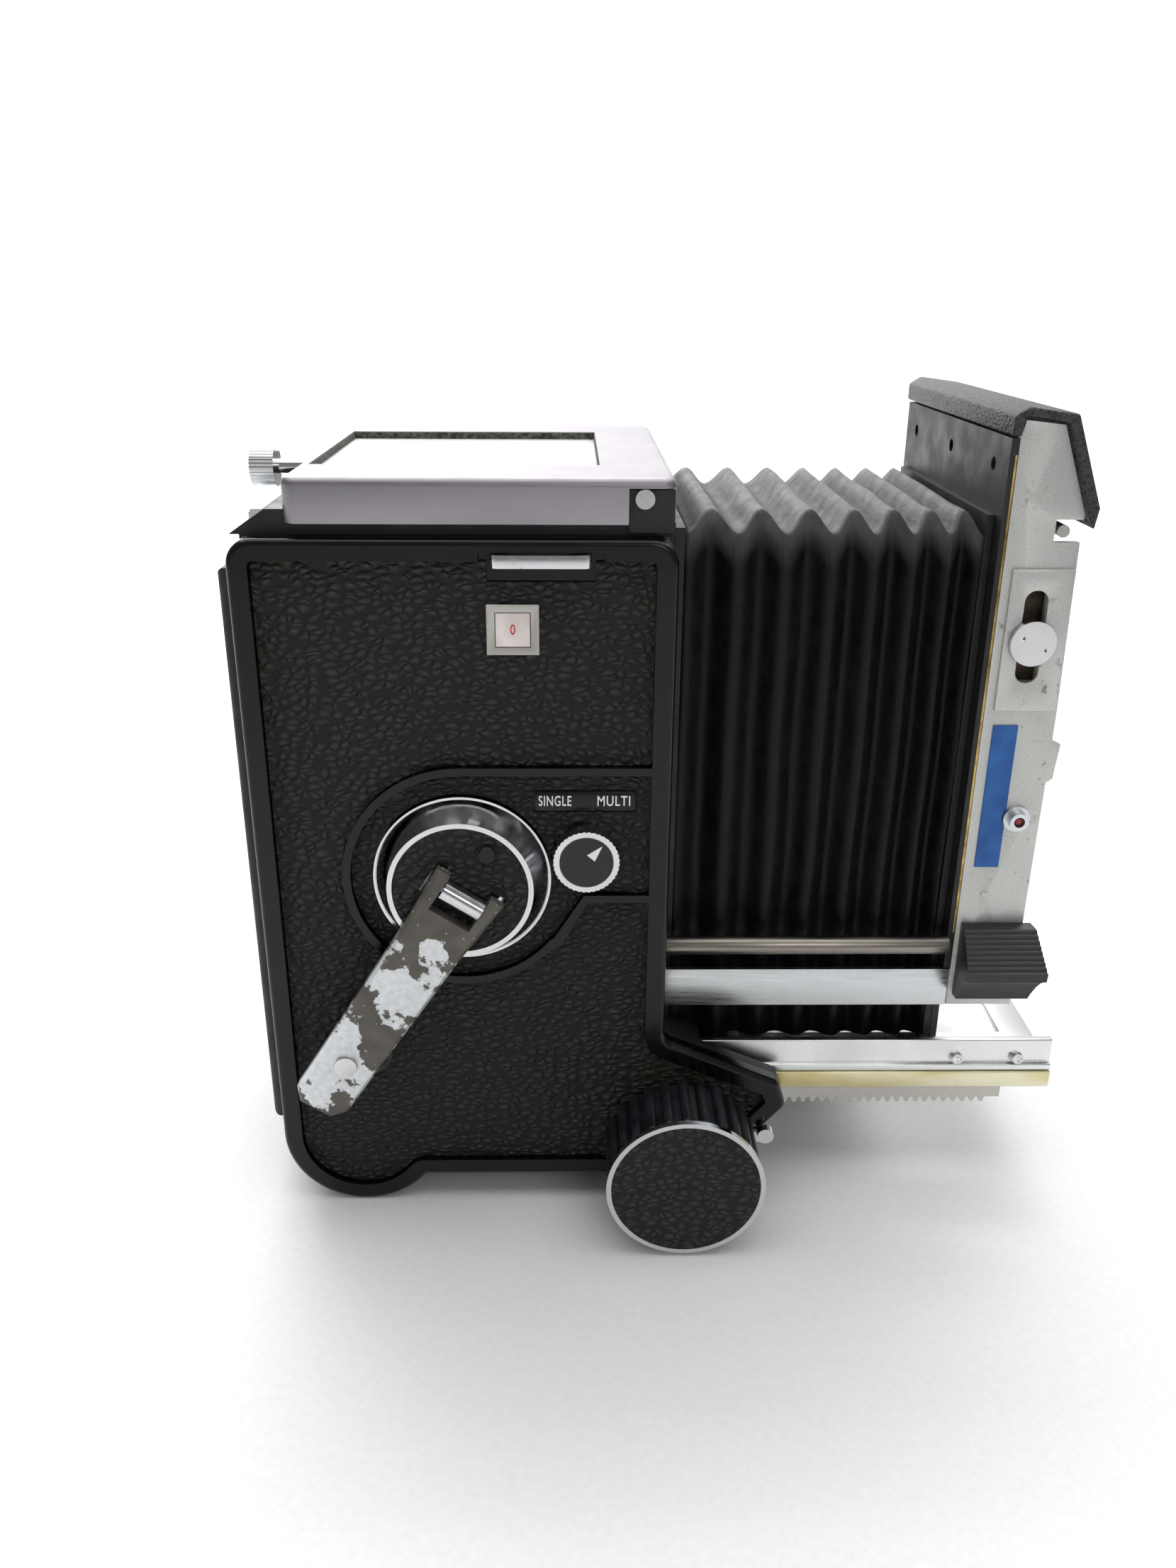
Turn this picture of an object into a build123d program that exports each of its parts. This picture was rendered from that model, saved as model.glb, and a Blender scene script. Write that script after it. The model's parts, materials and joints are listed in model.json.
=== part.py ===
"""Twin-lens reflex camera body with a rack-focused bellows, shown without lenses or hood.

Frame: +X is the taking direction (front), -Y is the crank side, +Z is up. The origin is
the mouth of the tripod socket, in the plane that the camera stands on. Millimetres.
"""

import math
import os

from build123d import *

os.makedirs("parts", exist_ok=True)

# ---------------------------------------------------------------- driving dimensions
body_half = 45.0          # half width over the two side covers' rims
body_rear = -41.0         # rear edge of the side covers
body_front = 41.0         # front edge of the side covers
body_top = 147.0          # top of the side covers
floor_z = 6.6             # underside of the body ahead of the spool lobe
lobe_r = 17.0             # round lobe over the supply spool
lobe_x = -24.0
cover_t = 3.5             # side cover, rim included
skin_t = 1.4              # side cover's sheet under the leather
rim_w = 4.0               # raised enamel rim round the leather
leather_t = 0.7
mech_space = 8.3          # room for mechanism between the film chamber and a side cover
wall_t = 1.2              # chamber side wall
part_gap = 0.1            # gap between fixed neighbours that only face each other
run_gap = 0.05            # radial running clearance of shafts
seam_gap = 0.02           # hairline seam where two sheets of one piece meet

screen_side = 55.0        # focusing screen's visible square
screen_t = 2.6
screen_lip = 1.5          # the finder frame's lip over the screen's edge
frame_inset = 1.2         # finder frame inside the side covers' width
frame_h = 8.25
mirror_x = -0.7           # mirror centre, under the screen's centre
view_z = 117.0            # viewing axis
lens_pitch = 50.0         # taking axis below the viewing axis
take_z = view_z - lens_pitch
film_x = -35.7            # film plane
gate_side = 56.0

focus_travel = 54.0
rack_teeth_pitch = 2.0944
pinion_teeth = 10
pinion_r = pinion_teeth * rack_teeth_pitch / (2 * math.pi)
focus_x = 45.0            # focusing shaft
focus_z = 17.3
shaft_r = 2.4
rack_line_z = focus_z + pinion_r
knob_r = 16.4
knob_gap = 2.0            # focusing knob's distance from the side cover
knob_w = 16.0

drum_x = -0.3             # winding crank
drum_z = 79.2
drum_r = 17.7
drum_top_r = 14.6
drum_h = 4.9
arm_angle = 33.4          # folded crank arm, from straight down towards the rear
arm_reach = 58.0
arm_rivet = 45.0
hinge_x = 0.1
hinge_z = 78.2

counter_x = 10.6          # exposure counter's window
counter_z = 130.1
label_rise = 16.5         # printed label above the crank's axis
selector_gap = 7.0        # selector's axis from the crank drum's edge
selector_z = 84.6
panel_rim = 4.5           # from the crank drum's edge to the bead round its panel
stem_r = 2.9              # stems of the left side's knobs
take_up_x = -26.0
take_up_z = 118.0
lens_lock_x = 24.0
lens_lock_z = 60.0

std_inset = 4.8           # the standard's side flanges inside the chassis' width
std_home = 47.2           # rear face of the standard's rear plate, racked right in
std_depth = 15.8
std_low = 45.0
std_high = 164.0

casting_half = body_half - cover_t
chamber_half = casting_half - mech_space
cover_mid = casting_half + cover_t / 2
crank_y = -body_half      # plane of the right cover's rim
seat_half = body_half - 4.0
frame_half = body_half - frame_inset
seat_z = body_top + 0.05
frame_z = body_top + 2.45
frame_top = frame_z + frame_h
screen_top = frame_top - screen_lip - part_gap
knob_in = body_half + knob_gap
knob_face = knob_in + knob_w
std_x = std_home + focus_travel   # the model stands racked right out
std_front = std_x + std_depth
std_half = casting_half - std_inset
rail_mid = std_half - 0.7
bar_mid = std_half - 0.8
rod_mid = std_half + 0.5
panel_r = drum_r + panel_rim
selector_x = drum_x + drum_r + selector_gap
label_x = selector_x - 0.3
label_z = drum_z + label_rise
fold_sin = math.sin(math.radians(arm_angle))
fold_cos = math.cos(math.radians(arm_angle))
well_x = hinge_x - arm_rivet * fold_sin + 1.47
well_z = hinge_z - arm_rivet * fold_cos - 1.13


def on_side(y):
    """Plane across the camera at width y, drawn in X and Z, facing the crank side."""
    return Plane.XZ.offset(-y)


def outline():
    """The body's side shape: box, spool lobe and front foot."""
    with BuildSketch(Plane.XY) as shape:
        with BuildLine():
            Polyline(
                (body_rear, lobe_r),
                (body_rear, body_top),
                (body_front, body_top),
                (body_front, 41.0),
                (66.0, 30.5),
                (68.0, 24.5),
                (62.5, 18.0),
                (52.0, floor_z),
                (lobe_x + 12.0, floor_z),
                (lobe_x, lobe_r),
                close=True,
            )
        make_face()
        top = shape.vertices().filter_by(lambda v: v.Y > body_top - 1)
        fillet(top, radius=5.0)
        foot = shape.vertices().filter_by(lambda v: v.X > 60)
        fillet(foot, radius=2.6)
        bend = shape.vertices().filter_by(lambda v: abs(v.X - body_front) < 0.1 and v.Y < 50)
        fillet(bend, radius=3.0)
        with Locations((lobe_x, lobe_r)):
            Circle(lobe_r)
    return shape.sketch


def panel_outline(grow):
    """The raised bead round the crank panel, drawn at its inner edge plus grow."""
    with BuildSketch(Plane.XY) as shape:
        with Locations((drum_x, drum_z)):
            Circle(panel_r + grow)
        with BuildLine():
            Polyline(
                (drum_x, drum_z + panel_r + grow),
                (37.6, drum_z + panel_r + grow),
                (37.6, 75.6 - grow),
                (24.0 + 0.4 * grow, 75.6 - grow),
                (18.0 + grow, 66.0 - grow),
                (drum_x + 6.0, drum_z - panel_r + 1.0 - grow),
                (drum_x, drum_z),
                close=True,
            )
        make_face()
    return shape.sketch


# ---------------------------------------------------------------- chassis
def make_chassis(side, label):
    """One side casting of the chassis: chamber wall, mechanism pocket and foot cheek."""
    inner = side * chamber_half
    outer = side * casting_half
    mid = (inner + outer) / 2
    with BuildPart() as chassis:
        with BuildSketch(on_side(inner if side < 0 else outer)):
            add(outline())
        extrude(amount=casting_half - chamber_half)
        pocket_in = chamber_half + wall_t
        pocket_mid = side * (pocket_in + casting_half + 1) / 2
        with Locations((1.5, pocket_mid, (40.5 + body_top - 3.5) / 2)):
            Box(73.0, casting_half - pocket_in + 1, body_top - 44.0, mode=Mode.SUBTRACT)
        with Locations((28.5, side * rail_mid, 27.95)):
            Box(83.0, 5.6, 19.0, mode=Mode.SUBTRACT)
        with Locations((28.5, side * (rail_mid - 2.0), 32.7)):
            Box(83.0, 3.0, 9.4, mode=Mode.SUBTRACT)
        with Locations(Location((focus_x, mid, focus_z), (90, 0, 0))):
            Cylinder(shaft_r + run_gap, 20, mode=Mode.SUBTRACT)
        with Locations(Location((focus_x, side * rail_mid, focus_z), (90, 0, 0))):
            Cylinder(pinion_r + 1.4, 5.6, mode=Mode.SUBTRACT)
        with Locations((lobe_x, mid, lobe_r)):
            Cylinder(stem_r + part_gap, 20, rotation=(90, 0, 0), mode=Mode.SUBTRACT)
        with Locations((take_up_x, mid, take_up_z)):
            Cylinder(stem_r + part_gap, 20, rotation=(90, 0, 0), mode=Mode.SUBTRACT)
        with Locations((39.5, side * rod_mid, 60.0)):
            Cylinder(2.25, 8, rotation=(0, 90, 0), mode=Mode.SUBTRACT)
        with Locations((39.5, side * (bar_mid - 0.3), 49.2)):
            Box(8, 2.4, 10.0, mode=Mode.SUBTRACT)
        if side < 0:
            with Locations((drum_x, mid, drum_z)):
                Cylinder(4.1, 20, rotation=(90, 0, 0), mode=Mode.SUBTRACT)
    chassis.part.label = label
    return chassis.part


chassis_right = make_chassis(-1, "chassis_right")
chassis_left = make_chassis(1, "chassis_left")

# base casting between the side castings: sole, spool chamber, bed slot and shelf
with BuildPart() as base_casting:
    with BuildSketch(on_side(chamber_half - part_gap / 2)):
        add(outline())
        with Locations((0, 39.2 + 60)):
            Rectangle(200, 120, mode=Mode.SUBTRACT)
        with Locations((lobe_x, lobe_r)):
            Circle(lobe_r - 2.4, mode=Mode.SUBTRACT)
        with Locations((lobe_x - 5.8, 29.5)):
            Rectangle(26.0, 25.0, mode=Mode.SUBTRACT)
        with Locations((29.0, 32.8)):
            Rectangle(80.0, 9.6, mode=Mode.SUBTRACT)
        with Locations((14.0, 18.5)):
            Rectangle(42.0, 20.0, mode=Mode.SUBTRACT)
        with Locations((48.0, 40.0)):
            Rectangle(19.0, 12.0, mode=Mode.SUBTRACT)
    extrude(amount=2 * chamber_half - part_gap)
    with Locations(Location((focus_x, 0, focus_z), (90, 0, 0))):
        Cylinder(shaft_r + run_gap, 2 * body_half, mode=Mode.SUBTRACT)
    with Locations((0, 0, 3.4)):
        Cylinder(17.0, 6.8)
    with Locations((45.0, 0, 3.4)):
        Box(16.0, 44.0, 6.8)
    with Locations((0, 0, 4.0)):
        Cylinder(4.9, 12.0, mode=Mode.SUBTRACT)
base_casting.part.label = "base_casting"

with BuildPart() as tripod_bush:
    with Locations((0, 0, 4.4)):
        Cylinder(4.9, 8.8)
    with Locations((0, 0, 4.4)):
        Cylinder(2.6, 9.0, mode=Mode.SUBTRACT)
tripod_bush.part.label = "tripod_bush"

with BuildPart() as upper_casting:
    with Locations((39.5, 0, (39.3 + body_top - part_gap) / 2)):
        Box(3.0, 2 * chamber_half - part_gap, body_top - part_gap - 39.3)
    with Locations((39.5, 0, (41.8 + body_top - 2.2) / 2)):
        Box(4.0, 2 * (chamber_half - 3.2), body_top - 44.0, mode=Mode.SUBTRACT)
    with Locations((-1.2, 0, body_top - 1.25)):
        Box(79.4, 2 * chamber_half - part_gap, 2.3)
    with Locations((mirror_x, 0, body_top - 1.25)):
        Box(screen_side + 4, screen_side + 4, 4.0, mode=Mode.SUBTRACT)
upper_casting.part.label = "upper_casting"

with BuildPart() as film_gate:
    with Locations((-34.6, 0, take_z)):
        Box(2.0, 2 * chamber_half - part_gap, 68.0)
    with Locations((-34.6, 0, take_z)):
        Box(3.0, gate_side, gate_side, mode=Mode.SUBTRACT)
    with Locations((-35.65, 29.5, take_z), (-35.65, -29.5, take_z)):
        Box(0.5, 1.6, 64.0)
    for z in (take_z - 36.6, take_z + 36.6):
        with Locations((-34.2, 0, z)):
            Cylinder(1.8, 2 * chamber_half - part_gap, rotation=(90, 0, 0))
film_gate.part.label = "film_gate"

# reflex mirror at 45 degrees, with its sheet holder reaching the chamber walls
with BuildPart() as mirror:
    with Locations(Location((mirror_x - 2.24, 0, view_z + 0.96), (0, 45, 0))):
        Box(66.0, screen_side + 3.0, 1.8)
mirror.part.label = "mirror"

with BuildPart() as mirror_holder:
    with Locations(Location((mirror_x - 4.33, 0, view_z + 0.87), (0, 45, 0))):
        Box(70.0, 2 * chamber_half - part_gap, 1.2)
    with Locations((-31.0, 0, view_z + 25.9)):
        Box(12.0, 2 * chamber_half - part_gap, 1.2)
mirror_holder.part.label = "mirror_holder"


# ---------------------------------------------------------------- side covers
def make_cover(side, label):
    """Enamelled side cover: sheet, raised rim, and on the crank side the panel bead."""
    y_in = casting_half
    y_out = body_half
    with BuildPart() as cover:
        with BuildSketch(on_side(-y_in if side < 0 else y_out)):
            add(outline())
        extrude(amount=cover_t)
        far = side * y_out
        edges = cover.edges().filter_by(lambda e: abs(e.center().Y - far) < 0.01)
        fillet(edges, radius=1.2)
        start = -(y_in + skin_t) if side < 0 else y_out + 1
        with BuildSketch(on_side(start)) as field:
            add(outline())
            offset(amount=-rim_w)
            with Locations((16.0, body_top - 2.5)):
                Rectangle(23.0, 10.0)
            with Locations((16.0, body_top)):
                Rectangle(40.0, 5.0, mode=Mode.SUBTRACT)
        extrude(amount=cover_t - skin_t + 1, mode=Mode.SUBTRACT)
        if side < 0:
            with BuildSketch(on_side(-(y_in + skin_t))):
                add(panel_outline(1.6))
                add(panel_outline(0.0), mode=Mode.SUBTRACT)
            extrude(amount=cover_t - skin_t - 0.1)
            with Locations((drum_x, -cover_mid, drum_z)):
                Cylinder(4.1, 8, rotation=(90, 0, 0), mode=Mode.SUBTRACT)
            with Locations((counter_x, -cover_mid, counter_z)):
                Box(7.4, 8, 7.4, mode=Mode.SUBTRACT)
            with Locations((selector_x, -cover_mid, selector_z)):
                Cylinder(2.1, 8, rotation=(90, 0, 0), mode=Mode.SUBTRACT)
            with Locations((well_x, -cover_mid, well_z)):
                Cylinder(7.1, 8, rotation=(90, 0, 0), mode=Mode.SUBTRACT)
        else:
            with Locations(
                (lobe_x, cover_mid, lobe_r),
                (take_up_x, cover_mid, take_up_z),
                (lens_lock_x, cover_mid, lens_lock_z),
            ):
                Cylinder(stem_r + part_gap, 8, rotation=(90, 0, 0), mode=Mode.SUBTRACT)
        with Locations((focus_x, side * cover_mid, focus_z)):
            Cylinder(shaft_r + 0.3, 8, rotation=(90, 0, 0), mode=Mode.SUBTRACT)
    cover.part.label = label
    return cover.part


side_cover_right = make_cover(-1, "side_cover_right")
side_cover_left = make_cover(1, "side_cover_left")

skin_y = casting_half + skin_t

# leather on both sides, with a separate piece inside the crank panel's bead
with BuildPart() as leatherette:
    with BuildSketch(on_side(-skin_y)):
        add(outline())
        offset(amount=-(rim_w + 0.15))
        add(panel_outline(1.75), mode=Mode.SUBTRACT)
        with Locations((15.9, body_top - 4.0)):
            Rectangle(20.0, 8.0, mode=Mode.SUBTRACT)
        with Locations((counter_x, counter_z)):
            Rectangle(7.4, 7.4, mode=Mode.SUBTRACT)
        with Locations((well_x, well_z)):
            Circle(7.1, mode=Mode.SUBTRACT)
        with Locations((focus_x, focus_z)):
            Circle(shaft_r + 0.3, mode=Mode.SUBTRACT)
    extrude(amount=leather_t)
    with BuildSketch(on_side(-skin_y)):
        add(panel_outline(-0.15))
        with Locations((50, 90)):
            Rectangle(26.4, 60, mode=Mode.SUBTRACT)
        with Locations((drum_x, drum_z)):
            Circle(drum_r + 0.3, mode=Mode.SUBTRACT)
        with Locations((selector_x, selector_z)):
            Circle(2.1, mode=Mode.SUBTRACT)
        with Locations((label_x, label_z)):
            Rectangle(20.2, 4.6, mode=Mode.SUBTRACT)
    extrude(amount=leather_t)
    with BuildSketch(on_side(skin_y + leather_t)):
        add(outline())
        offset(amount=-(rim_w + 0.15))
        with Locations(
            (lobe_x, lobe_r), (take_up_x, take_up_z), (lens_lock_x, lens_lock_z)
        ):
            Circle(stem_r + part_gap, mode=Mode.SUBTRACT)
        with Locations((15.9, body_top - 4.0)):
            Rectangle(20.0, 8.0, mode=Mode.SUBTRACT)
        with Locations((focus_x, focus_z)):
            Circle(shaft_r + 0.3, mode=Mode.SUBTRACT)
    extrude(amount=leather_t)
leatherette.part.label = "leatherette"

with BuildPart() as label_plate:
    with Locations((label_x, -(skin_y + 0.45), label_z)):
        Box(19.8, 0.9, 4.2)
label_plate.part.label = "label_plate"

with BuildPart() as strap_lugs:
    for side in (-1, 1):
        with BuildSketch(Plane.XY.offset(body_top - 5.0)):
            with Locations((15.9, side * (body_half - 0.4))):
                RectangleRounded(18.4, 3.4, 1.6)
            with Locations((15.9, side * (body_half - 0.7))):
                RectangleRounded(12.0, 1.0, 0.4, mode=Mode.SUBTRACT)
        extrude(amount=2.4)
strap_lugs.part.label = "strap_lugs"

with BuildPart() as counter_bezel:
    with Locations((counter_x, -(skin_y + leather_t + 0.25), counter_z)):
        Box(9.8, 0.5, 9.6)
    with Locations((counter_x, -(skin_y - 0.2), counter_z)):
        Box(7.3, 2.6, 7.3)
    with Locations((counter_x, -(skin_y + 1.1), counter_z)):
        Box(6.6, 8, 6.6, mode=Mode.SUBTRACT)
    with Locations((counter_x, -(skin_y + 0.6), counter_z)):
        Box(6.6, 0.8, 6.6)
counter_bezel.part.label = "counter_bezel"

with BuildPart() as counter_dial:
    with Locations((counter_x - 9.6, -(casting_half - 1.4), counter_z - 3.1)):
        Cylinder(13.0, 0.8, rotation=(90, 0, 0))
    with Locations((counter_x - 9.6, -(casting_half - 4.0), counter_z - 3.1)):
        Cylinder(2.0, 5.8, rotation=(90, 0, 0))
counter_dial.part.label = "counter_dial"

# chrome-edged well that takes the folded crank's knob
with BuildPart() as knob_well:
    with Locations((well_x, -(casting_half + 1.6), well_z)):
        Cylinder(7.0, 3.0, rotation=(90, 0, 0))
    with Locations((well_x, -(casting_half + 2.3), well_z)):
        Cylinder(6.3, 3.0, rotation=(90, 0, 0), mode=Mode.SUBTRACT)
knob_well.part.label = "knob_well"

# ---------------------------------------------------------------- back door
door_x = body_rear - 0.15
door_knuckle_w = 3.6
knuckle_mid = chamber_half + 0.8 - door_knuckle_w / 2
with BuildPart() as back_door:
    with BuildSketch(Plane.XY.offset(20.0)):
        with Locations((door_x - 1.25, 0)):
            Rectangle(2.5, 2 * casting_half)
    extrude(amount=body_top - 26.0)
    outer = back_door.edges().filter_by(lambda e: e.center().X < door_x - 2.4)
    fillet(outer, radius=1.6)
    with Locations((-43.3, 0, 18.4)):
        Cylinder(1.7, 2 * (chamber_half - 3.2), rotation=(90, 0, 0))
    with Locations((-42.9, 0, 20.0)):
        Box(1.4, 2 * (chamber_half - 3.2), 2.4)
    with Locations((-43.3, 0, 18.4)):
        Cylinder(0.8, 2 * body_half, rotation=(90, 0, 0), mode=Mode.SUBTRACT)
back_door.part.label = "back_door"

with BuildPart() as back_leather:
    with Locations((door_x - 2.5 - 0.3, 0, (28.0 + body_top - 15.0) / 2)):
        Box(0.6, 2 * (casting_half - 6.5), body_top - 43.0)
back_leather.part.label = "back_leather"

with BuildPart() as door_hinge:
    for side in (-1, 1):
        with Locations((-43.3, side * knuckle_mid, 18.4)):
            Cylinder(1.7, door_knuckle_w, rotation=(90, 0, 0))
        with Locations((-42.2, side * knuckle_mid, 18.6)):
            Box(2.3, door_knuckle_w, 2.4)
    with Locations((lobe_x, 0, lobe_r)):
        Cylinder(lobe_r + 0.05, 2 * body_half, rotation=(90, 0, 0), mode=Mode.SUBTRACT)
    with Locations((-43.3, 0, 18.4)):
        Cylinder(0.75, 2 * (chamber_half + 0.8), rotation=(90, 0, 0))
door_hinge.part.label = "door_hinge"

with BuildPart() as pressure_plate:
    with Locations((-36.9, 0, take_z)):
        Box(1.2, 62.0, 60.0)
    with Locations((-37.6, 0, take_z)):
        Box(0.6, 40.0, 40.0)
    for z in (take_z - 12.0, take_z + 12.0):
        with BuildSketch(on_side(5.0)):
            with BuildLine():
                Polyline(
                    (-37.9, z - 8.0),
                    (-37.9, z + 8.0),
                    (-38.3, z + 8.0),
                    (-41.15, z + 2.5),
                    (-41.15, z - 2.5),
                    (-38.3, z - 8.0),
                    close=True,
                )
            make_face()
            with Locations((-38.9, z)):
                Rectangle(1.2, 5.0, mode=Mode.SUBTRACT)
        extrude(amount=10.0)
pressure_plate.part.label = "pressure_plate"

with BuildPart() as back_latch:
    with Locations((-42.6, 0, body_top - 3.1)):
        Box(3.0, 22.0, 5.2)
    with Locations((-44.6, 0, body_top - 3.1)):
        Box(1.2, 16.0, 3.2)
back_latch.part.label = "back_latch"

# ---------------------------------------------------------------- finder seat and frame
with BuildPart() as finder_seat:
    with BuildSketch(on_side(seat_half)):
        with BuildLine():
            Polyline(
                (-40.8, seat_z),
                (-34.0, seat_z + 4.55),
                (-30.6, seat_z + 4.55),
                (-30.6, frame_z - 0.05),
                (40.4, frame_z - 0.05),
                (40.4, seat_z),
                close=True,
            )
        make_face()
    extrude(amount=2 * seat_half)
    with Locations((mirror_x, 0, (seat_z + screen_top - screen_t - part_gap) / 2)):
        Box(screen_side + 3.6, screen_side + 3.6, screen_top - screen_t - part_gap - seat_z)
        Box(screen_side, screen_side, 20.0, mode=Mode.SUBTRACT)
    for side in (-1, 1):
        with Locations((36.0, side * (seat_half + 1.0), body_top + 5.2)):
            Box(8.2, 0.8, 6.4)
        with Locations((36.0, side * (seat_half + 0.2), body_top + 1.6)):
            Box(8.2, 2.4, 1.6)
finder_seat.part.label = "finder_seat"

with BuildPart() as focusing_screen:
    with Locations((mirror_x, 0, screen_top - screen_t / 2)):
        Box(screen_side + 3.6, screen_side + 3.6, screen_t)
focusing_screen.part.label = "focusing_screen"

with BuildPart() as finder_frame:
    with BuildSketch(Plane.XY.offset(frame_z)):
        with Locations((4.9, 0)):
            RectangleRounded(70.8, 2 * frame_half, 3.0)
    extrude(amount=frame_h)
    rim = finder_frame.edges().filter_by(lambda e: e.center().Z > frame_top - 0.1)
    fillet(rim, radius=1.6)
    with Locations((mirror_x, 0, frame_top)):
        Box(screen_side, screen_side, 20, mode=Mode.SUBTRACT)
    with Locations((mirror_x, 0, (frame_z - 2.0 + screen_top + part_gap) / 2)):
        Box(
            screen_side + 4.0,
            screen_side + 4.0,
            screen_top + part_gap - frame_z + 2.0,
            mode=Mode.SUBTRACT,
        )
    for side in (-1, 1):
        with Locations((37.0, side * (frame_half - 1.0), body_top + 5.6)):
            Box(10.6, 3.0, 6.5, mode=Mode.SUBTRACT)
    with Locations((-31, 0, body_top + 6.6)):
        Cylinder(1.6, 8, rotation=(0, 90, 0), mode=Mode.SUBTRACT)
finder_frame.part.label = "finder_frame"

with BuildPart() as finder_screws:
    for side in (-1, 1):
        with Locations((34.6, side * (frame_half - 0.85), body_top + 6.9)):
            Cylinder(1.75, 1.1, rotation=(90, 0, 0))
        with Locations(Location((34.6, side * (frame_half - 0.3), body_top + 6.9), (0, 50, 0))):
            Box(4.4, 0.6, 0.5, mode=Mode.SUBTRACT)
finder_screws.part.label = "finder_screws"

with BuildPart() as finder_lock_screw:
    with BuildSketch(Plane.YZ.offset(-45.2)):
        with Locations((0, body_top + 6.6)):
            Circle(4.2)
        with Locations((0, body_top + 6.6)):
            with PolarLocations(4.35, 36):
                Circle(0.22, mode=Mode.SUBTRACT)
    extrude(amount=5.0)
    with Locations((-35.6, 0, body_top + 6.6)):
        Cylinder(1.5, 9.4, rotation=(0, 90, 0))
finder_lock_screw.part.label = "finder_lock_screw"

# ---------------------------------------------------------------- winding crank
arm_plane = Plane(
    origin=(hinge_x, crank_y - 6.6, hinge_z),
    x_dir=(-fold_sin, 0, -fold_cos),
    z_dir=(0, -1, 0),
)

# the arm's two ears swing through slots beside the hinge barrel
arm_half = 1.3            # half the arm's thickness
ear_tail = 3.4            # how far the ears reach past the hinge
ear_swing = math.hypot(ear_tail, arm_half) + 0.25
ear_mid = 6.2
ear_slot = 3.3

with BuildPart() as crank_drum:
    with BuildSketch(on_side(crank_y + 1.4)):
        with Locations((drum_x, drum_z)):
            Circle(drum_r)
    extrude(amount=1.0)
    with BuildSketch(on_side(crank_y + 0.4)):
        with Locations((drum_x, drum_z)):
            Circle(drum_r - 0.4)
    extrude(amount=drum_h + 0.4, taper=math.degrees(math.atan(2.7 / drum_h)))
    with BuildSketch(on_side(crank_y - drum_h + 0.7)):
        with Locations((drum_x, drum_z)):
            Circle(drum_top_r - 1.2)
    extrude(amount=2.0, mode=Mode.SUBTRACT)
    with Locations((drum_x, -(casting_half - 1.5), drum_z)):
        Cylinder(4.0, 8.0, rotation=(90, 0, 0))
    with Locations(Location((hinge_x, crank_y - drum_h - 0.2, hinge_z), (0, arm_angle, 0))):
        Box(8.6, 1.8, 3.4)
    with Locations(arm_plane):
        with Locations((0, ear_mid, 0), (0, -ear_mid, 0)):
            Box(2 * ear_swing, ear_slot, 2 * ear_swing, mode=Mode.SUBTRACT)
        Cylinder(2.1, 8.8, rotation=(90, 0, 0))
        Cylinder(0.75, 9.0, rotation=(90, 0, 0), mode=Mode.SUBTRACT)
crank_drum.part.label = "crank_drum"

with BuildPart() as crank_disc:
    with BuildSketch(on_side(crank_y - drum_h + 0.7)):
        with Locations((drum_x, drum_z)):
            Circle(drum_top_r - 1.25)
        with Locations(Location((hinge_x, hinge_z), arm_angle * -1)):
            Rectangle(8.8, 3.6, mode=Mode.SUBTRACT)
        with Locations((5.1, 87.1)):
            Circle(1.9, mode=Mode.SUBTRACT)
    extrude(amount=0.6)
    with Locations((5.1, crank_y - drum_h + 0.1, 87.1)):
        Cylinder(1.85, 1.2, rotation=(90, 0, 0))
    with Locations(arm_plane):
        with Locations((0, ear_mid, 0), (0, -ear_mid, 0)):
            Box(2 * ear_swing, ear_slot, 2 * ear_swing, mode=Mode.SUBTRACT)
crank_disc.part.label = "crank_disc"

with BuildPart() as crank_arm:
    with BuildSketch(arm_plane.offset(-arm_half)):
        with BuildLine():
            Polyline(
                (-ear_tail, 7.5),
                (12.0, 6.6),
                (arm_reach - 3.0, 5.9),
                (arm_reach, 3.6),
                (arm_reach, -3.6),
                (arm_reach - 3.0, -5.9),
                (12.0, -6.6),
                (-ear_tail, -7.5),
                close=True,
            )
        make_face()
    extrude(amount=2 * arm_half)
    top = crank_arm.faces().sort_by(Axis.Y)[0].edges()
    chamfer(top, length=0.7)
    with Locations(arm_plane):
        Box(9.4, 9.2, 20, mode=Mode.SUBTRACT)
        Cylinder(0.75, 30.0, rotation=(90, 0, 0), mode=Mode.SUBTRACT)
        with Locations((arm_rivet, 0, 0)):
            Cylinder(1.55, 10.0, mode=Mode.SUBTRACT)
crank_arm.part.label = "crank_arm"

with BuildPart() as crank_pins:
    with Locations(arm_plane):
        Cylinder(0.7, 14.4, rotation=(90, 0, 0))
    with Locations(arm_plane):
        with Locations((arm_rivet, 0, -2.0)):
            Cylinder(1.5, 7.0)
        with Locations((arm_rivet, 0, 1.6)):
            Cylinder(2.3, 0.5)
crank_pins.part.label = "crank_pins"

with BuildPart() as crank_knob:
    with Locations(arm_plane):
        with Locations((arm_rivet, 0, -3.9)):
            Cylinder(4.6, 4.8)
        with Locations((arm_rivet, 0, -3.55)):
            Cylinder(1.56, 4.3, mode=Mode.SUBTRACT)
crank_knob.part.label = "crank_knob"

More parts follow.
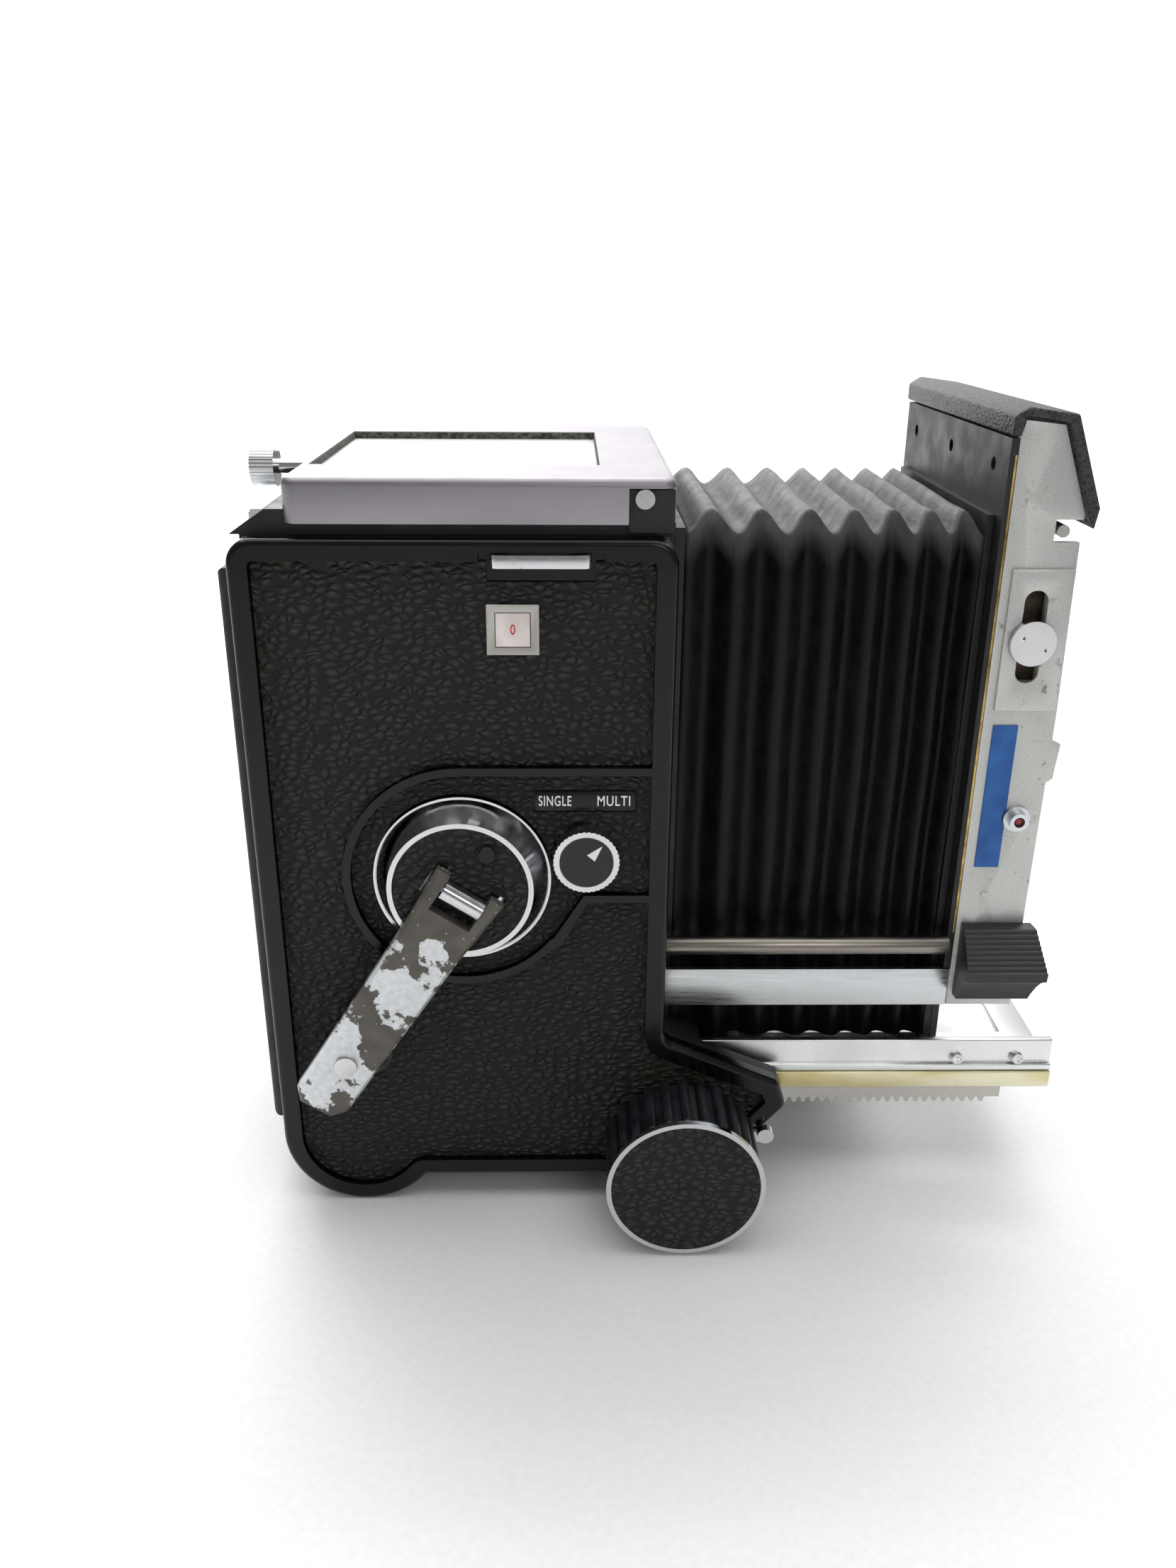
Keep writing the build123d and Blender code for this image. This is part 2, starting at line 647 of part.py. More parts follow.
# ---------------------------------------------------------------- exposure selector
with BuildPart() as selector_knob:
    with BuildSketch(on_side(-(skin_y + leather_t + 0.3))):
        with Locations((selector_x, selector_z)):
            Circle(6.5)
            with PolarLocations(6.65, 40):
                Circle(0.3, mode=Mode.SUBTRACT)
    extrude(amount=4.4)
    with Locations((selector_x, -(skin_y + leather_t + 4.5), selector_z)):
        Cylinder(5.4, 1.0, rotation=(90, 0, 0), mode=Mode.SUBTRACT)
    with Locations((selector_x, -(skin_y - 0.9), selector_z)):
        Cylinder(2.05, 5.0, rotation=(90, 0, 0))
    with Locations((selector_x, -(skin_y + leather_t + 4.35), selector_z)):
        Cylinder(5.35, 0.7, rotation=(90, 0, 0))
selector_knob.part.label = "selector_knob"

# ---------------------------------------------------------------- focusing shaft and knobs
tooth = rack_teeth_pitch / 2 - 0.14
flank = math.tan(math.radians(20))


def pinion_tooth():
    """One straight-sided pinion tooth standing on the root circle, pointing along +Y."""
    tip = pinion_r + 0.52
    root = pinion_r - 0.8
    with BuildSketch(Plane.XY) as shape:
        with BuildLine():
            Polyline(
                (-tooth * 0.40, root - 0.6),
                (-tooth * 0.48, pinion_r - 0.3),
                (-tooth * 0.40, pinion_r + 0.1),
                (-tooth * 0.16, tip),
                (tooth * 0.16, tip),
                (tooth * 0.40, pinion_r + 0.1),
                (tooth * 0.48, pinion_r - 0.3),
                (tooth * 0.40, root - 0.6),
                close=True,
            )
        make_face()
    return shape.sketch


with BuildPart() as focus_shaft:
    with Locations((focus_x, 0, focus_z)):
        Cylinder(shaft_r, 2 * (knob_face - 3.3), rotation=(90, 0, 0))
    for side in (-1, 1):
        with BuildSketch(on_side(side * rail_mid + 1.5)):
            with Locations((focus_x, focus_z)):
                with PolarLocations(0, pinion_teeth, start_angle=0):
                    add(pinion_tooth())
        extrude(amount=3.0)
focus_shaft.part.label = "focus_shaft"


with BuildPart() as knob_grips:
    for side in (-1, 1):
        start = -knob_in if side < 0 else knob_face - 1.2
        with BuildSketch(on_side(start)):
            with Locations((focus_x, focus_z)):
                Circle(knob_r - 0.5)
                with PolarLocations(knob_r + 0.6, 26):
                    Circle(1.9, mode=Mode.SUBTRACT)
        extrude(amount=knob_face - knob_in - 1.2)
        with Locations((focus_x, side * (knob_face - 3.0), focus_z)):
            Cylinder(knob_r - 3.0, 9.0, rotation=(90, 0, 0), mode=Mode.SUBTRACT)
        with Locations((focus_x, side * (knob_in + 5.0), focus_z)):
            Cylinder(shaft_r, 30.0, rotation=(90, 0, 0), mode=Mode.SUBTRACT)
knob_grips.part.label = "knob_grips"

with BuildPart() as knob_rings:
    for side in (-1, 1):
        with Locations((focus_x, side * (knob_face - 0.6), focus_z)):
            Cylinder(knob_r, 1.2, rotation=(90, 0, 0))
        with Locations((focus_x, side * (knob_face - 0.2), focus_z)):
            Cylinder(knob_r - 1.0, 0.8, rotation=(90, 0, 0), mode=Mode.SUBTRACT)
        with Locations((focus_x, side * (knob_face - 2.2), focus_z)):
            Cylinder(knob_r - 3.0, 2.0, rotation=(90, 0, 0))
knob_rings.part.label = "knob_rings"

with BuildPart() as knob_leathers:
    for side in (-1, 1):
        with Locations((focus_x, side * (knob_face - 0.25), focus_z)):
            Cylinder(knob_r - 1.05, 0.7, rotation=(90, 0, 0))
knob_leathers.part.label = "knob_leathers"

with BuildPart() as focus_lock:
    with BuildSketch(on_side(-(body_half + 0.4))):
        with Locations((focus_x, focus_z)):
            Circle(6.0)
            with Locations((10.4, 0.3)):
                Rectangle(17.0, 2.6)
            Circle(shaft_r + 0.4, mode=Mode.SUBTRACT)
    extrude(amount=1.0)
    with Locations((focus_x + 18.6, -(body_half + 1.2), focus_z + 0.9)):
        Cylinder(1.8, 1.8, rotation=(90, 0, 0))
focus_lock.part.label = "focus_lock"

# ---------------------------------------------------------------- left side controls
def make_spool_knob(z, x, label):
    """Pull-out spool knob: knurled head, stem and spool key."""
    with BuildPart() as knob:
        with BuildSketch(on_side(body_half + 9.0)):
            with Locations((x, z)):
                Circle(9.0)
                with PolarLocations(9.2, 36):
                    Circle(0.45, mode=Mode.SUBTRACT)
        extrude(amount=7.6)
        with Locations((x, body_half - 5.2, z)):
            Cylinder(stem_r, 14.0, rotation=(90, 0, 0))
    knob.part.label = label
    return knob.part


spool_knob_upper = make_spool_knob(take_up_z, take_up_x, "spool_knob_upper")
spool_knob_lower = make_spool_knob(lobe_r, lobe_x, "spool_knob_lower")

with BuildPart() as lens_lock_knob:
    with Locations((lens_lock_x, body_half + 2.6, lens_lock_z)):
        Cylinder(8.0, 3.6, rotation=(90, 0, 0))
    with Locations((lens_lock_x, body_half + 5.0, lens_lock_z)):
        Box(3.4, 2.4, 14.6)
    with Locations((lens_lock_x, body_half - 4.0, lens_lock_z)):
        Cylinder(stem_r, 10.0, rotation=(90, 0, 0))
lens_lock_knob.part.label = "lens_lock_knob"

# light baffle that covers the taking chamber while the lens is off
with BuildPart() as lens_baffle:
    with Locations((36.4, 0, 66.2)):
        Box(0.8, 2 * (chamber_half - 1.7), 51.6)
    with Locations((36.4, 0, 40.6)):
        Cylinder(1.0, 2 * (chamber_half - 1.7), rotation=(90, 0, 0))
lens_baffle.part.label = "lens_baffle"

with BuildPart() as take_up_spool:
    with Locations((take_up_x, 0, take_up_z)):
        Cylinder(5.5, 64.0, rotation=(90, 0, 0))
        with Locations((0, 31.4, 0), (0, -31.4, 0)):
            Cylinder(12.4, 1.2, rotation=(90, 0, 0))
        Cylinder(3.2, 8.0, rotation=(90, 0, 0), mode=Mode.SUBTRACT)
        with Locations((0, 31.0, 0), (0, -31.0, 0)):
            Cylinder(3.2, 8.0, rotation=(90, 0, 0), mode=Mode.SUBTRACT)
take_up_spool.part.label = "take_up_spool"

# ---------------------------------------------------------------- bellows
fold_count = 7
bel_rear = 43.0
bel_front = std_x - 1.6
bel_half = std_half - 3.8
bel_low = 33.0
bel_high = body_top + 3.0
bel_t = 1.2
fold_depth = 4.6
fold = (bel_front - bel_rear) / fold_count


def bellows_skin(half_y, low, high, depth):
    """Pleated tube drawn as ruled faces between valley and ridge sections."""
    with BuildPart() as skin:
        for i in range(2 * fold_count + 1):
            d = depth if i % 2 == 0 else 0.0
            with BuildSketch(Plane.YZ.offset(bel_rear + i * fold / 2)):
                with Locations((0, (low + high) / 2)):
                    Rectangle(2 * (half_y - d), high - low - 2 * d)
        loft(ruled=True)
    return skin.part


with BuildPart() as bellows:
    add(bellows_skin(bel_half, bel_low, bel_high, fold_depth))
    inside = bellows_skin(bel_half - bel_t, bel_low + bel_t, bel_high - bel_t, fold_depth)
    add(inside, mode=Mode.SUBTRACT)
bellows.part.label = "bellows"


def make_bellows_frame(x, thick, low, high, label):
    """Flat frame that the bellows is clamped to."""
    with BuildPart() as frame:
        with Locations((x + thick / 2, 0, (low + high) / 2)):
            Box(thick, 2 * bel_half, high - low)
        with Locations((x + thick / 2, 0, (43.1 + bel_high - 5.9) / 2)):
            Box(thick + 1, 2 * (bel_half - 4.9), bel_high - 49.0, mode=Mode.SUBTRACT)
    frame.part.label = label
    return frame.part


rear_frame_x = body_front + part_gap
bellows_rear_frame = make_bellows_frame(
    rear_frame_x, bel_rear - part_gap - rear_frame_x, 38.0, body_top, "bellows_rear_frame"
)
bellows_front_frame = make_bellows_frame(
    std_x - 1.5, 1.4, bel_low + 0.4, bel_high - 0.4, "bellows_front_frame"
)

# ---------------------------------------------------------------- focusing bed
bed_rear = 43.4
bed_front = std_front + 10.4
with BuildPart() as bed_tray:
    with Locations(((bed_rear + bed_front) / 2, 0, 29.5)):
        Box(bed_front - bed_rear, 2 * (rail_mid + 2.0), 1.6)
    for side in (-1, 1):
        with Locations(((bed_rear + bed_front) / 2, side * (rail_mid + 0.2), 32.4)):
            Box(bed_front - bed_rear, 1.6, 7.2)
    with Locations(((bed_rear + bed_front) / 2 + 4.6, 0, 29.5)):
        Box(bed_front - bed_rear - 24.0, 2 * (rail_mid - 11.0), 4.0, mode=Mode.SUBTRACT)
bed_tray.part.label = "bed_tray"

with BuildPart() as bed_rails:
    for side in (-1, 1):
        with Locations(((bed_rear + bed_front) / 2, side * rail_mid, 26.6)):
            Box(bed_front - bed_rear, 4.6, 4.0)
bed_rails.part.label = "bed_rails"

rack_start = focus_x - 0.5 * rack_teeth_pitch
rack_count = int((std_front - rack_start) / rack_teeth_pitch)
with BuildPart() as racks:
    for side in (-1, 1):
        with BuildSketch(on_side(side * rail_mid + 1.6)):
            with Locations((0.5 * (rack_start + std_front) - 0.3, 0.5 * (rack_line_z + 0.9 + 24.55))):
                Rectangle(std_front - rack_start + 0.6, 24.55 - rack_line_z - 0.9)
            for i in range(rack_count):
                x = rack_start + i * rack_teeth_pitch
                with BuildLine():
                    Polyline(
                        (x - tooth / 2 - 1.0 * flank, rack_line_z + 1.0),
                        (x - tooth / 2 + 0.36 * flank, rack_line_z - 0.36),
                        (x + tooth / 2 - 0.36 * flank, rack_line_z - 0.36),
                        (x + tooth / 2 + 1.0 * flank, rack_line_z + 1.0),
                        close=True,
                    )
                make_face()
        extrude(amount=3.2)
racks.part.label = "racks"

with BuildPart() as bed_screws:
    for side in (-1, 1):
        for x in (std_x + 5.3, std_x + 18.7):
            with Locations((x, side * (rail_mid + 1.5), 31.6)):
                Cylinder(1.25, 1.0, rotation=(90, 0, 0))
            with Locations((x, side * (rail_mid + 2.0), 31.6)):
                Box(1.5, 0.5, 0.4, mode=Mode.SUBTRACT)
                Box(0.4, 0.5, 1.5, mode=Mode.SUBTRACT)
bed_screws.part.label = "bed_screws"

# ---------------------------------------------------------------- front standard
with BuildPart() as rear_plate:
    with Locations((std_x + 0.75, 0, (30.3 + std_high) / 2)):
        Box(1.5, 2 * (std_half - 3.7), std_high - 30.3)
    with Locations((std_x + 0.75, 0, (54.0 + std_high) / 2)):
        Box(1.5, 2 * std_half - 0.2, std_high - 54.0)
    with Locations((std_x + 0.75, 0, take_z), (std_x + 0.75, 0, view_z)):
        Cylinder(22.5, 4, rotation=(0, 90, 0), mode=Mode.SUBTRACT)
    for y in (8.7 - std_half, 0.0, std_half - 8.7):
        with Locations((std_x + 0.2, y, std_high - 5.6)):
            Cylinder(1.3, 1.6, rotation=(0, 90, 0), mode=Mode.SUBTRACT)
rear_plate.part.label = "rear_plate"

flange_x = std_x + 1.5
trigger_x = std_x + 4.4   # the release lever's pivot
trigger_z = 62.0
slot_x = std_x + 8.4      # the shutter cocking disc's slot
socket_x = std_x + 10.6
socket_z = 89.2
with BuildPart() as standard_frame:
    for side in (-1, 1):
        start = -(std_half - 1.5) if side < 0 else std_half
        with BuildSketch(on_side(start)):
            with BuildLine():
                Polyline(
                    (flange_x, std_low),
                    (flange_x, std_high),
                    (std_x + 2.2, std_high + 3.2),
                    (std_x + 9.4, std_high + 2.4),
                    (std_front - 0.4, std_high - 13.8),
                    (std_front - 0.6, std_high - 14.6),
                    (std_x + 10.2, std_high - 14.6),
                    (std_x + 10.2, std_high - 18.8),
                    (std_front - 0.6, std_high - 18.8),
                    (std_front, 112.4),
                    (std_front, 105.8),
                    (std_front + 1.8, 105.0),
                    (std_front + 1.2, 97.6),
                    (std_front, 96.8),
                    (std_front - 0.4, std_low),
                    close=True,
                )
            make_face()
        extrude(amount=1.5)
    with Locations((flange_x + 0.75, 0, 105.0)):
        Box(1.5, 2 * (std_half - 1.5 - seam_gap), 116.0)
    with Locations((flange_x + 0.75, 0, take_z), (flange_x + 0.75, 0, view_z)):
        Cylinder(22.5, 4, rotation=(0, 90, 0), mode=Mode.SUBTRACT)
    with Locations((trigger_x, -(std_half + 0.9), trigger_z)):
        Cylinder(0.9, 2.0, rotation=(90, 0, 0))
    for side in (-1, 1):
        with Locations((slot_x, side * rail_mid, 127.0)):
            Box(4.4, 8.0, 18.0, mode=Mode.SUBTRACT)
        for x, z in ((std_x + 6.4, 71.6), (std_x + 4.8, std_high - 11.4)):
            with Locations((x, side * (std_half + 0.15), z)):
                Cylinder(0.75, 0.5, rotation=(90, 0, 0))
standard_frame.part.label = "standard_frame"

with BuildPart() as lens_panel:
    with Locations((std_x + 5.0, 0, 94.5)):
        Box(4.0, 2 * std_half - 3.2, 97.0)
    with Locations((std_x + 5.0, 0, take_z), (std_x + 5.0, 0, view_z)):
        Cylinder(22.0, 8, rotation=(0, 90, 0), mode=Mode.SUBTRACT)
    with Locations((std_x + 6.5, 0, take_z), (std_x + 6.5, 0, view_z)):
        Cylinder(24.0, 2.2, rotation=(0, 90, 0), mode=Mode.SUBTRACT)
    for side in (-1, 1):
        with Locations((std_x + 8.2, side * (std_half - 6.2), 94.5)):
            Box(2.4, 3.0, 90.0)
lens_panel.part.label = "lens_panel"

with BuildPart() as lens_wire:
    with Locations((std_x + 11.7, 0, std_high - 16.7)):
        Cylinder(1.2, 2 * std_half + 0.6, rotation=(90, 0, 0))
lens_wire.part.label = "lens_wire"

with BuildPart() as top_cap:
    with BuildSketch(on_side(std_half + 1.1)):
        with BuildLine():
            Polyline(
                (std_x - 0.3, std_high + 0.4),
                (std_x - 0.3, std_high + 4.0),
                (std_x + 2.2, std_high + 5.6),
                (std_x + 11.4, std_high + 4.4),
                (std_x + 17.7, std_high - 12.4),
                (std_x + 17.1, std_high - 16.4),
                (std_x + 15.9, std_high - 14.2),
                (std_x + 9.8, std_high + 3.0),
                (std_x + 1.8, std_high + 4.0),
                (std_x + 1.4, std_high + 0.4),
                close=True,
            )
        make_face()
    extrude(amount=2 * (std_half + 1.1))
top_cap.part.label = "top_cap"

with BuildPart() as slide_plate:
    with Locations((slot_x + 0.7, -(std_half + 0.4), 126.2)):
        Box(12.0, 0.8, 28.0)
    for z in (118.0 + 2.2, 136.2 - 2.2):
        with Locations((slot_x, -(std_half + 0.4), z)):
            Cylinder(2.2, 4, rotation=(90, 0, 0), mode=Mode.SUBTRACT)
    with Locations((slot_x, -(std_half + 0.4), 127.1)):
        Box(4.4, 4, 13.8, mode=Mode.SUBTRACT)
slide_plate.part.label = "slide_plate"

with BuildPart() as cocking_disc:
    with Locations((slot_x, -(std_half + 1.7), 126.2)):
        Cylinder(4.4, 1.2, rotation=(90, 0, 0))
    for dx, dz in ((-2.2, 1.2), (2.2, -1.2)):
        with Locations((slot_x + dx, -(std_half + 2.2), 126.2 + dz)):
            Cylinder(0.55, 0.9, rotation=(90, 0, 0), mode=Mode.SUBTRACT)
    with Locations((slot_x, -(std_half - 0.1), 126.2)):
        Cylinder(1.9, 2.6, rotation=(90, 0, 0))
cocking_disc.part.label = "cocking_disc"

with BuildPart() as blue_plate:
    with Locations((std_x + 6.0, -(std_half + 0.2), 93.6)):
        Box(5.0, 0.4, 31.0)
    with Locations((socket_x, -(std_half + 0.2), socket_z)):
        Cylinder(2.8, 2.0, rotation=(90, 0, 0), mode=Mode.SUBTRACT)
blue_plate.part.label = "blue_plate"

with BuildPart() as cable_socket:
    with Locations((socket_x, -(std_half + 0.5), socket_z)):
        Cylinder(2.7, 1.0, rotation=(90, 0, 0))
    with Locations((socket_x, -(std_half + 1.9), socket_z)):
        Cylinder(1.9, 1.8, rotation=(90, 0, 0))
    with Locations((socket_x, -(std_half + 1.6), socket_z)):
        Cylinder(1.1, 3.2, rotation=(90, 0, 0), mode=Mode.SUBTRACT)
cable_socket.part.label = "cable_socket"

with BuildPart() as release_trigger:
    with BuildSketch(Plane.YZ.offset(std_x + 2.4)):
        with BuildLine():
            Polyline(
                (-(std_half + 0.3), 65.4),
                (-(std_half + 2.8), 65.2),
                (-(std_half + 8.8), 57.2),
                (-(std_half + 8.8), 55.0),
                (-(std_half + 4.8), 51.8),
                (-(std_half + 3.2), 47.8),
                (-(std_half + 0.3), 47.6),
                close=True,
            )
        make_face()
    extrude(amount=18.0)
    with BuildSketch(on_side(-(std_half - 1.0))):
        with BuildLine():
            Polyline(
                (std_x + 2.4, 66.0),
                (std_x + 13.4, 66.0),
                (std_x + 17.2, 61.0),
                (std_x + 19.0, 56.4),
                (std_x + 15.2, 47.0),
                (std_x + 2.4, 47.0),
                close=True,
            )
        make_face()
    extrude(amount=14.0, mode=Mode.INTERSECT)
    with Locations((trigger_x, -(std_half + 1.2), trigger_z)):
        Cylinder(0.95, 2.4, rotation=(90, 0, 0), mode=Mode.SUBTRACT)
release_trigger.part.label = "release_trigger"

with BuildPart() as guide_bars:
    with Locations(((30.0 + std_x - 0.05) / 2, -rod_mid, 60.0)):
        Cylinder(2.0, std_x - 0.05 - 30.0, rotation=(0, 90, 0))
    for side in (-1, 1):
        with Locations(((30.0 + flange_x - 0.05) / 2, side * bar_mid, 49.2)):
            Box(flange_x - 0.05 - 30.0, 1.2, 8.8)
guide_bars.part.label = "guide_bars"

nodes = [
    chassis_right,
    chassis_left,
    base_casting.part,
    tripod_bush.part,
    upper_casting.part,
    film_gate.part,
    mirror.part,
    mirror_holder.part,
    side_cover_right,
    side_cover_left,
    leatherette.part,
    label_plate.part,
    strap_lugs.part,
    counter_bezel.part,
    counter_dial.part,
    knob_well.part,
    back_door.part,
    back_leather.part,
    door_hinge.part,
    pressure_plate.part,
    back_latch.part,
    finder_seat.part,
    focusing_screen.part,
    finder_frame.part,
    finder_screws.part,
    finder_lock_screw.part,
    crank_drum.part,
    crank_disc.part,
    crank_arm.part,
    crank_pins.part,
    crank_knob.part,
    selector_knob.part,
    focus_shaft.part,
    knob_grips.part,
    knob_rings.part,
    knob_leathers.part,
    focus_lock.part,
    spool_knob_upper,
    spool_knob_lower,
    lens_lock_knob.part,
    lens_baffle.part,
    take_up_spool.part,
    bellows.part,
    bellows_rear_frame,
    bellows_front_frame,
    bed_tray.part,
    bed_rails.part,
    racks.part,
    bed_screws.part,
    rear_plate.part,
    standard_frame.part,
    lens_panel.part,
    lens_wire.part,
    top_cap.part,
    slide_plate.part,
    cocking_disc.part,
    blue_plate.part,
    cable_socket.part,
    release_trigger.part,
    guide_bars.part,
]
for node in nodes:
    export_step(node, "parts/" + node.label + ".step")
print(len(nodes), "nodes")
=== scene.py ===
"""Looks of a rack-focused twin-lens reflex camera body: a finish for every CAD part, and the
soft, ribbed, rounded and printed pieces that the CAD model leaves plain."""

import json
import math

import bmesh
import bpy
from mathutils import Matrix, Vector, noise

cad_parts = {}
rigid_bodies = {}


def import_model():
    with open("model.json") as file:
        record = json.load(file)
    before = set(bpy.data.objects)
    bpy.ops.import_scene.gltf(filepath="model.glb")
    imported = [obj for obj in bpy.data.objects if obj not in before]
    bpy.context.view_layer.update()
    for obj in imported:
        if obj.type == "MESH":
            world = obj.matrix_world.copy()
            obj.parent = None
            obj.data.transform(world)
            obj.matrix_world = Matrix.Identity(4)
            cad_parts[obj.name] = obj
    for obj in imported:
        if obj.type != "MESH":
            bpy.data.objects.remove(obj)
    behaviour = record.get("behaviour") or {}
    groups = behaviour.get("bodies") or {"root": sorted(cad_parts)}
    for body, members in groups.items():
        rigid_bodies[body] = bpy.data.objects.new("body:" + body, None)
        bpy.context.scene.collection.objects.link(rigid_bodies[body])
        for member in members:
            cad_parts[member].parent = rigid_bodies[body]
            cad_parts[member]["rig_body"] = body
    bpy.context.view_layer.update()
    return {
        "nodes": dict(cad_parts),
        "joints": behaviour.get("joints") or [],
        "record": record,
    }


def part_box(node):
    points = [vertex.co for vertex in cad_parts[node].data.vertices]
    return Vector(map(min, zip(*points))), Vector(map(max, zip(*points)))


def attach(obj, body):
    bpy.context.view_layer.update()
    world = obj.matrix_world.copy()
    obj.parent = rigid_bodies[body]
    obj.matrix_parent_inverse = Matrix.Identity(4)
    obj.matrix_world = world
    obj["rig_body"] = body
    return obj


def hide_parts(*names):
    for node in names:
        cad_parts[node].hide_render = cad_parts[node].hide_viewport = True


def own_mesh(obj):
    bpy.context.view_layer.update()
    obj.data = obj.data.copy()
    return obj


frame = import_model()

bl_info = {
    "name": "Reflex Body Looks",
    "version": (1, 0, 0),
    "blender": (4, 5, 0),
    "location": "3D View > Sidebar > Reflex Body",
    "description": "Finishes and fine pieces for a twin-lens reflex body with a racked bellows",
    "category": "Object",
}

MM = 0.001
KNOB_INNER = 47.0  # millimetres from the middle plane to a knob's inner face
CLOTH_END = 36.8  # millimetres from the origin to the cloth's front and rear edges
CLOTH_TOP = 142.8  # millimetres up to the cloth's upper edge
CAP_HEIGHT = 0.7  # height of a capital as a share of the font's size
CAMERA_PLACE = (0.02109, -0.26700, 0.19003)


# ------------------------------------------------------------------ small tools
def linear(hex_colour):
    """Linear RGB of an sRGB hex colour."""
    parts = [int(hex_colour[i : i + 2], 16) / 255 for i in (1, 3, 5)]
    return [c / 12.92 if c <= 0.04045 else ((c + 0.055) / 1.055) ** 2.4 for c in parts]


def per_mm(size):
    """Pattern scale on Object coordinates for a feature of that many millimetres."""
    return 1.0 / (size * MM)


def add_node(tree, kind, settings):
    """Add a shader node. Lower-case keys are its properties, the rest are its sockets, and a
    socket takes a link from another node, a hex colour or a plain value."""
    made = tree.nodes.new("ShaderNode" + kind)
    for key, value in settings.items():
        if key == "stops":
            for element, (place, colour) in zip(made.color_ramp.elements, value):
                element.position = place
                element.color = (*linear(colour), 1.0)
        elif isinstance(key, str) and key.islower():
            setattr(made, key, value)
        elif isinstance(value, bpy.types.NodeSocket):
            tree.links.new(value, made.inputs[key])
        elif isinstance(value, str):
            made.inputs[key].default_value = (*linear(value), 1.0)
        else:
            made.inputs[key].default_value = value
    return made


def new_material(name, colour, metallic=0.0, roughness=0.5, **more):
    """A material with one Principled shader, its constants set on the shader's own sockets."""
    material = bpy.data.materials.new(name)
    material.use_nodes = True
    tree = material.node_tree
    shader = tree.nodes["Principled BSDF"]
    shader.inputs["Base Color"].default_value = (*linear(colour), 1.0)
    shader.inputs["Metallic"].default_value = metallic
    shader.inputs["Roughness"].default_value = roughness
    for socket, value in more.items():
        shader.inputs[socket.replace("_", " ")].default_value = value
    place = add_node(tree, "TexCoord", {}).outputs["Object"]
    return material, tree, shader, place


# ------------------------------------------------------------------ finishes
def cast_black():
    """Die-cast alloy under matt black stove paint: a fine sand-like skin with little gloss."""
    material, tree, shader, place = new_material("stoved_matt_black", "#121313", 0.0, 0.55)
    skin = add_node(tree, "TexNoise", {
        "Scale": per_mm(0.5), "Detail": 3.0, "Vector": place,
    }).outputs["Fac"]
    tree.links.new(
        add_node(tree, "ValToRGB", {
            "stops": [(0.35, "#0c0d0d"), (0.7, "#1b1c1c")], "Fac": skin,
        }).outputs["Color"],
        shader.inputs["Base Color"],
    )
    tree.links.new(
        add_node(tree, "MapRange", {
            "From Min": 0.3, "From Max": 0.7, "To Min": 0.42, "To Max": 0.62,
            "Value": add_node(tree, "TexNoise", {
                "Scale": per_mm(6.0), "Detail": 3.0, "Vector": place,
            }).outputs["Fac"],
        }).outputs["Result"],
        shader.inputs["Roughness"],
    )
    tree.links.new(
        add_node(tree, "Bump", {
            "Strength": 0.6, "Distance": 0.03 * MM, "Height": skin,
        }).outputs["Normal"],
        shader.inputs["Normal"],
    )
    return material


def black_enamel():
    """Gloss baking enamel on pressed sheet: deep black, faint orange peel, a few dust nibs."""
    material, tree, shader, place = new_material(
        "gloss_black_enamel", "#050606", 0.0, 0.14, Specular_IOR_Level=0.32
    )
    dust = add_node(tree, "TexNoise", {
        "Scale": per_mm(1.1), "Detail": 4.0, "Vector": place,
    }).outputs["Fac"]
    tint = add_node(tree, "ValToRGB", {
        "stops": [(0.66, "#050606"), (0.8, "#241f19")], "Fac": dust,
    }).outputs["Color"]
    tree.links.new(tint, shader.inputs["Base Color"])
    tree.links.new(
        add_node(tree, "MapRange", {
            "From Min": 0.35, "From Max": 0.7, "To Min": 0.12, "To Max": 0.3,
            "Value": add_node(tree, "TexNoise", {
                "Scale": per_mm(9.0), "Detail": 3.0, "Vector": place,
            }).outputs["Fac"],
        }).outputs["Result"],
        shader.inputs["Roughness"],
    )
    tree.links.new(
        add_node(tree, "Bump", {
            "Strength": 0.5, "Distance": 0.03 * MM,
            "Height": add_node(tree, "TexNoise", {
                "Scale": per_mm(2.2), "Detail": 1.0, "Vector": place,
            }).outputs["Fac"],
        }).outputs["Normal"],
        shader.inputs["Normal"],
    )
    return material


